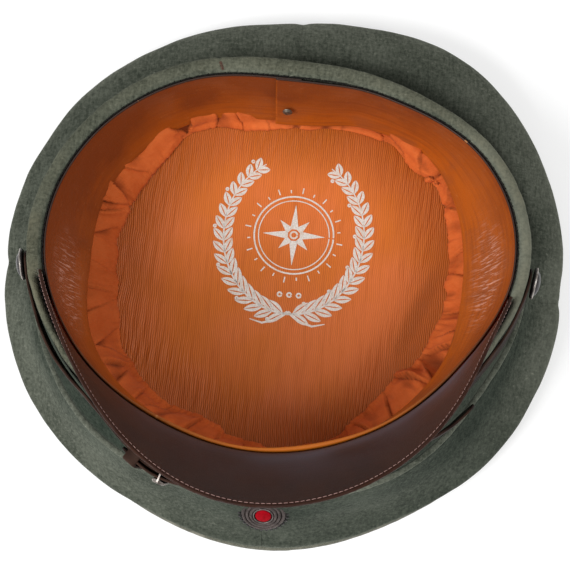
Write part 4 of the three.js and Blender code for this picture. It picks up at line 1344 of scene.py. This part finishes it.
def ringed_star():
    """A star with a hole in its middle, in two rings with rays round them."""
    rings = ((17.5, 0.7), (15.6, 0.45))
    bodies = [print_strip(arc_path(reach, reach, 0, 358, 120), width) for reach, width in rings]
    for k in range(STAR_POINTS):
        heading = 2 * np.pi / STAR_POINTS * k
        reach = STAR_LONG if k % 2 == 0 else STAR_SHORT
        way = np.array([np.cos(heading), np.sin(heading)])
        t = np.linspace(0, 1, 8)[:, None]
        bodies.append(print_strip(way * (STAR_HOLE + (reach - STAR_HOLE) * t), 3.6 * (1 - t[:, 0]) + 0.12))
    bodies.append(print_strip(arc_path(1.5, 1.5, 0, 350, 30), 0.8))
    for k in range(RAYS):
        heading = 2 * np.pi * (k + 0.5) / RAYS
        way = np.array([np.cos(heading), np.sin(heading)])
        bodies.append(print_strip(np.array([way * 19.2, way * (21.8 if k % 2 else 20.6)]), 0.55))
    return bodies


def make_print():
    """A laurel wreath with berries round a ringed star, over three dots."""
    bodies = side_wreath(-1) + side_wreath(1) + ringed_star()
    for x in (-DOTS_APART, 0.0, DOTS_APART):
        bodies.append(print_strip(arc_path(0.9, 0.9, 0, 350, 18, (x, -27.0)), 0.75))
    join_loops("lining_print", bodies, silver_print, sharp=20)


# Peak: a leather crescent that rises outwards round the front, its free edge bound

def peak_point(u, t):
    """u runs from -1 to 1 over the peak's arc, t from the rim to the free edge."""
    crescent = 1 - u * u
    reach = PEAK_REACH * crescent ** np.where(u < 0, PEAK_LEFT_TAPER, PEAK_RIGHT_TAPER)
    rise = PEAK_RISE * crescent ** 0.8
    out = PEAK_ROOT_INSET + reach * np.maximum(t, 0) ** 1.15
    return band_point(270 + PEAK_ARC * u, -out, -PEAK_STAND - rise * t)


def peak_spread(count):
    """Places over the peak's arc, closer together towards its tips."""
    u = PEAK_TIP * np.sin(np.linspace(-np.pi / 2, np.pi / 2, count) * 0.93) / np.sin(np.pi / 2 * 0.93)
    return np.where(u < 0, u * (1 - LEFT_TIP_LESS / TIP_ARC), u)


def make_peak():
    u = peak_spread(230)[:, None]
    root_depth = np.linspace(PEAK_ROOT_DEPTH, 0.2, 5)[None]
    root = band_point(270 + PEAK_ARC * u, -PEAK_ROOT_INSET, root_depth)
    t = np.linspace(0, 1, 34)[None]
    sheet = peak_point(u, t)
    grid = np.concatenate([root, sheet], axis=1)
    normal = normals(grid, False)
    held = np.concatenate([np.zeros(5), smooth(t[0], 0, 0.3)])[None] * (1 - u * u)
    lumps = 0.3 * noise(grid, 30, 81) + 0.12 * noise(grid, 9, 82)
    grid = grid + normal * (lumps * held)[..., None]
    worn = np.concatenate([np.zeros(5), smooth(t[0], 0.9, 1) * 0.3 + 0.3 * bell(t[0], 0.02, 0.05)])[None]
    worn = worn * (0.6 + 0.4 * noise(grid, 8, 83))
    from_tip = np.minimum(u - u[0], u[-1] - u)
    thin = PEAK_EDGE + (1 - PEAK_EDGE) * np.concatenate([np.ones(5), 1 - smooth(t[0], 0.6, 0.97)])[None]
    thickness = PEAK_THICKNESS * thin * (0.35 + 0.65 * smooth(from_tip, 0, 0.12))
    # Painted reflection near the peak's root, strongest at the right: a bluish grey sheen
    painted_sheen = bell(t[0], 0.1, 0.13) + bell(t[0], 0.3, 0.3) * 0.42
    sides = 0.32 * bell(u, -0.15, 0.4) + 1.1 * bell(u, 0.5, 0.36)
    painted_sheen = np.concatenate([np.ones(5), painted_sheen])[None] * sides * (0.75 + 0.6 * noise(grid, 16, 84))
    make_shell("peak", grid, thickness, False, peak_leather, ["peak"],
               {"worn": np.clip(worn, 0, 1), "painted_sheen": np.clip(painted_sheen, 0, 0.9),
                "ruddy": 0.8 * smooth(u, 0.25, 0.75)}, 6)


def peak_frame(u):
    """The free edge with the ways outwards and across the peak's thickness."""
    edge = peak_point(u, 1.0)
    over = unit(edge - peak_point(u, 0.9))
    along = unit(np.gradient(edge, axis=0))
    return edge, over, unit(np.cross(along, over))


def binding_back(u, way_in):
    """The share of the peak's slant that lies a given length inside its free edge."""
    slant = np.linalg.norm(peak_point(u, 1.0) - peak_point(u, 0.5), axis=-1) * 2
    return 1 - np.minimum(way_in / slant, 0.6)


def make_peak_binding():
    u = peak_spread(260)
    edge, over, facing = peak_frame(u)
    inner = PEAK_THICKNESS * PEAK_EDGE / 2 + 0.04
    outer = inner + 0.16

    def skin(off, past):
        half_turn = np.linspace(np.pi / 2, -np.pi / 2, 9)
        side = [peak_point(u, binding_back(u, BINDING_SHOWN * s)) for s in (1.0, 0.75, 0.5, 0.25)]
        lips = [(place + facing * off, place - facing * off) for place in side]
        bend = [edge + over * past * np.cos(a) + facing * off * np.sin(a) for a in half_turn]
        return [lip[0] for lip in lips] + bend + [lip[1] for lip in lips[::-1]]

    loops = np.stack(skin(outer, 0.4) + skin(inner, 0.12)[::-1], axis=1)
    uneven = 0.05 * noise(loops, 3, 85) + 0.04 * noise(loops, 1.2, 86)
    loops = loops + over[:, None] * uneven[..., None]
    worn = 0.2 + 0.4 * noise(loops, 4, 87)
    worn[:, :4] *= 0.3
    make_loops("peak_binding", loops, False, binding_leather, ["peak_binding"],
               values={"worn": np.clip(worn, 0, 1)})


def make_peak_stitches():
    """Pinkish thread through the binding, in stitches two millimetres long on both faces."""
    u = peak_spread(900)
    place = peak_point(u, binding_back(u, 1.0))
    way = way_along(place)
    facing = peak_frame(u)[2]
    off = PEAK_THICKNESS * PEAK_EDGE / 2 + 0.24
    bodies = []
    for start in np.arange(2.0, way[-1] - 3.0, 2.15):
        ends = [np.array([np.interp(s, way, place[:, k]) for k in range(3)]) for s in (start, start + 1.7)]
        middle = np.array([np.interp(start + 0.85, way, facing[:, k]) for k in range(3)])
        for side in (-1, 1):
            shift = middle * off * side
            bodies.append(thread(ends[0] + shift * 0.95, ends[1] + shift * 0.95, middle * side * 0.1, 0.14))
    join_loops("peak_stitches", bodies, pink_thread)


def make_root_seam():
    """A row of dark sewing where the peak meets the rim."""
    bodies = []
    for u in np.linspace(-0.93, 0.93, 92):
        angle = 270 + PEAK_ARC * u
        start = band_point(angle - 0.55, -PEAK_ROOT_INSET - PEAK_THICKNESS / 2 - 0.55, 0.35)
        end = band_point(angle + 0.55, -PEAK_ROOT_INSET - PEAK_THICKNESS / 2 - 0.5, 0.35)
        bodies.append(thread(start, end, RIM_NORMAL * 0.12, 0.2))
    join_loops("peak_root_seam", bodies, dark_thread)


# Chin strap: an under layer from button to button and an outer layer held by keeper and slide

STRAP_TILT = 1.2
STRAP_APART = 1.5
FITTING_TILT = 4.2
FREE_END_TILT = 2.4


def from_fittings(angle):
    """How far a place lies from the middle of the keeper and the slide."""
    return np.abs(angle - (KEEPER_ANGLE + SLIDE_ANGLE) / 2)


def strap_lift(angle):
    """How far the strap stands off the band, which is further by the keeper and the slide."""
    bow = STRAP_BOW * bell(angle, STRAP_BOW_ANGLE, STRAP_BOW_ARC)
    return bow + (LOOP_WALL + 3 * GAP) * (1 - smooth(from_fittings(angle), FITTING_ARC, 3 * FITTING_ARC))


def strap_point(angle, layer, side):
    """A point of a strap layer, 0 or 1; side runs from -1 at its rim edge to 1 at the other."""
    apart = STRAP_TILT * (1 - 0.8 * bell(angle, 345, 25)) + STRAP_APART * bell(angle, 213, 13)
    apart = apart + FITTING_TILT * bell(angle, 248, 15) + layer * FREE_END_TILT * bell(angle, 318, 20)
    loose = GAP * smooth(from_fittings(angle), FITTING_ARC / 2, FITTING_ARC)
    free = FREE_END_LIFT * smooth(angle, OVER[1] - 28, OVER[1] - 4)
    inset = -STRAP_SEAT - strap_lift(angle) - layer * (STRAP_THICKNESS + GAP + loose + free)
    inset = inset - apart * (1 - side) / 2
    return band_point(angle, inset, STRAP_DEPTH + side * STRAP_WIDTH / 2)


def make_strap(name, layer, span, seed):
    start, end = span
    round_arc = 4.0
    near = round_arc * (1 - np.cos(np.linspace(0, np.pi / 2, 10)))
    angle = np.concatenate([start + near[:-1], np.linspace(start + round_arc, end - round_arc, 190),
                            (end - near)[::-1][1:]])
    close = np.minimum(np.minimum(angle - start, end - angle), round_arc) / round_arc
    half = np.maximum(np.sqrt(np.clip(1 - (1 - close) ** 2, 0, 1)), 0.16)
    side = half[:, None] * np.linspace(-1, 1, 15)[None]
    grid = strap_point(angle[:, None], layer, side)
    ripple = 0.22 * noise(grid, 14, seed) + 0.1 * noise(grid, 5, seed + 1)
    cup = -0.25 * (side ** 2)
    grid = grid + outward(angle)[:, None] * (ripple + cup)[..., None]
    worn = np.clip(smooth(np.abs(side), 0.8, 1) * (0.5 + 0.5 * noise(grid, 6, seed + 2)), 0, 1)
    make_shell(name, grid, STRAP_THICKNESS * 0.72, False, strap_leather, [name],
               {"worn": worn}, 6)


def make_sleeve(name, angle, length, bulge, waist, look):
    """A flat sleeve round both layers of the strap, its corners rounded and its ends narrow."""
    place = strap_point(angle, 0.5, 0.0)
    along = unit(strap_point(angle + 1, 0, 0.0) - strap_point(angle - 1, 0, 0.0))
    down = strap_point(angle, 0, 1.0) - strap_point(angle, 0, -1.0)
    out = unit(np.cross(along, down))
    wide = np.cross(out, along)
    width = STRAP_WIDTH + 4 * GAP
    depth = 2 * STRAP_THICKNESS + 4 * GAP
    turn = np.linspace(0, 2 * np.pi, 72, endpoint=False)

    def outline(extra):
        half_width, half_depth = width / 2 + extra, depth / 2 + extra
        x = half_width * np.sign(np.cos(turn)) * np.abs(np.cos(turn)) ** 0.16
        y = half_depth * np.sign(np.sin(turn)) * np.abs(np.sin(turn)) ** 0.3
        return x, y + bulge * np.clip(y / half_depth, 0, 1) * np.clip(1 - (x / half_width) ** 2, 0, 1)

    rings = []
    steps = [(-0.5, 0.0), (-0.5, 0.75), (-0.42, 1.0), (-0.2, 1.0), (0.2, 1.0), (0.42, 1.0), (0.5, 0.75),
             (0.5, 0.0), (0.2, 0.0), (-0.2, 0.0)]
    for shift, share_out in steps:
        x, y = outline(LOOP_WALL * share_out * 0.95)
        narrow = 1 - waist * np.clip(np.abs(x) / (width / 2), 0, 1) ** 12
        ends = along * (length * shift * narrow)[:, None]
        rings.append(place + wide * x[:, None] + out * y[:, None] + ends)
    loops = np.stack(rings, axis=1)
    worn = 0.4 + 0.5 * noise(loops, 3, 95)
    make_loops(name, loops, True, look, [name], values={"worn": np.clip(worn, 0, 1)}, sharp=50)


def make_buttons():
    """Domed dark buttons with a bright rolled rim on a short shank plate."""
    r = BUTTON_RADIUS
    dome = [(r * np.cos(a), 0.9 + 2.6 * np.sin(a)) for a in np.linspace(0.0, np.pi / 2, 14)]
    dome = [(0.86 * x, y) for x, y in dome[:-1]] + [(0.05, 3.5)]
    profile = [(0.05, 0.0), (r * 0.9, 0.0), (r * 0.97, 0.25), (r, 0.7), (r * 0.985, 1.15), (r * 0.93, 1.35),
               (r * 0.885, 1.15)] + dome
    for name, angle in BUTTONS.items():
        facing = square_to(lambda turn, side: strap_point(turn, 0, side), angle, 0.0, 0.5)
        place = strap_point(angle, 0, 0.0) + facing * (STRAP_THICKNESS / 2 + GAP)
        make_lathe(name, profile, 64, place, facing, dark_metal, [name])
        ring = [(r * 0.9, 1.3), (r * 0.985, 0.7), (r * 1.04, 0.9), (r * 1.03, 1.35), (r * 0.95, 1.6)]
        make_turned(name + "_rim", ring, 64, place, facing, silver_metal)


def make_cockade():
    """A pressed badge: a serrated rim, grooved rings, a thin bright ring and a red centre."""
    line = side_lines(np.array([269.9, 270.1])).mean(axis=0)
    index = int(np.searchsorted(way_along(line), COCKADE_DROP))
    over = unit(line[index + 4] - line[index - 4])
    facing = unit(np.cross(X_AXIS, over))
    if facing[1] > 0:
        facing = -facing
    facing = unit(facing + Z_AXIS * COCKADE_TURN_UP)
    place = line[index] + facing * (CLOTH / 2 + GAP) + COCKADE_SHIFT
    r = COCKADE_RADIUS
    well = COCKADE_CENTRE + GAP
    grooves = []
    for k in range(3):
        outer = 0.87 - 0.155 * k
        base = 1.0 + 0.3 * k
        grooves += [(r * outer, base), (r * (outer - 0.02), base + 0.5), (r * (outer - 0.065), base + 0.66),
                    (r * (outer - 0.11), base + 0.5), (r * (outer - 0.135), base)]
    profile = [(0.05, 0), (r * 0.87, 0), (r * 0.885, 0.3), (r * 0.885, 0.9)] + grooves
    profile += [(well - 0.2, 2.0), (well - 0.2, 1.1), (0.05, 1.1)]
    make_lathe("cockade", profile, 96, place, facing, cockade_metal, ["cockade"], sharp=35)
    border = [(r * 0.9, 0.05), (r * 0.95, 0.05), (r, 0.3), (r, 0.6), (r * 0.96, 0.85), (r * 0.9, 0.85)]
    make_turned("cockade_teeth", border, 240, place, facing, dark_metal,
                lambda turn: 0.045 * np.sign(np.sin(turn * 30)) - 0.02)
    centre = [(0.05, 1.15), (3.3, 1.15), (3.3, 2.2), (3.15, 2.35), (2.7, 2.5), (2.0, 2.62), (1.1, 2.7),
              (0.05, 2.72)]
    make_lathe("cockade_centre", centre, 48, place, facing, enamel, ["cockade_centre"])
    wire = [(well + 0.4, 1.9), (well + 0.4, 2.3), (well + 0.15, 2.42), (well - 0.1, 2.3), (well - 0.1, 1.9)]
    make_turned("cockade_ring", wire, 72, place, facing, dull_metal)


# Floor, light and camera

# Places and sizes in metres, strengths in watts
LIGHTS = (
    ("key", (-0.80, -0.60, 1.0), 0.8, 19),
    ("fill", (0.9, -0.15, 1.1), 1.0, 9),
)
WORLD_STRENGTH = 0.44
FLOOR_SIZE = 6.0
FLOOR_BELOW = 0.0004
LIGHTS_AIM = (0.0, 0.0, 0.04)
CAMERA_LENS = 126.7
CAMERA_PLACE = Vector((14.0, -168.2, 874.4)) * MM
CAMERA_AIM = Vector((1.32, -6.48, 40.0)) * MM


def turn_towards(thing, aim):
    thing.rotation_euler = (Vector(aim) - Vector(thing.location)).to_track_quat("-Z", "Y").to_euler()
    bpy.context.scene.collection.objects.link(thing)


def make_stage():
    bpy.ops.mesh.primitive_plane_add(size=FLOOR_SIZE, location=(0, 0, -FLOOR_BELOW))
    floor = bpy.context.object
    floor.name = "floor"
    white = Look("pale floor", Base_Color=paint(0.62, 0.62, 0.62), Roughness=0.8,
                 Emission_Color=paint(1, 1, 1), Emission_Strength=0.42)
    floor.data.materials.append(white.material)


def make_light(name, place, size, power):
    data = bpy.data.lights.new(name, "AREA")
    data.shape = "DISK"
    data.size = size
    data.energy = power
    light = bpy.data.objects.new(name, data)
    light.location = place
    turn_towards(light, LIGHTS_AIM)


def make_world():
    world = bpy.data.worlds.new("studio")
    world.use_nodes = True
    world.node_tree.nodes["Background"].inputs["Color"].default_value = paint(1.0, 1.0, 1.0)
    world.node_tree.nodes["Background"].inputs["Strength"].default_value = WORLD_STRENGTH
    bpy.context.scene.world = world


def make_camera():
    data = bpy.data.cameras.new("camera")
    data.sensor_width = 36
    data.lens = CAMERA_LENS
    camera = bpy.data.objects.new("camera", data)
    camera.location = CAMERA_PLACE
    turn_towards(camera, CAMERA_AIM)
    bpy.context.scene.camera = camera


make_camera()
make_stage()
make_world()
for light in LIGHTS:
    make_light(*light)
bpy.context.scene.view_settings.view_transform = "Standard"

make_side_panels()
make_crown_top()
make_pipings()
make_band()
make_band_seam()
make_rim_thread()
make_sweatband()
make_rivet()
make_crown_lining()
make_side_lining()
make_print()
make_peak()
make_peak_binding()
make_peak_stitches()
make_root_seam()
make_strap("strap_under", 0, UNDER, 101)
make_strap("strap_over", 1, OVER, 111)
make_sleeve("strap_keeper", KEEPER_ANGLE, 7.0, 2.6, 0.15, strap_leather)
make_sleeve("strap_slide", SLIDE_ANGLE, 5.6, 0.9, 0.86, silver_metal)
make_buttons()
make_cockade()
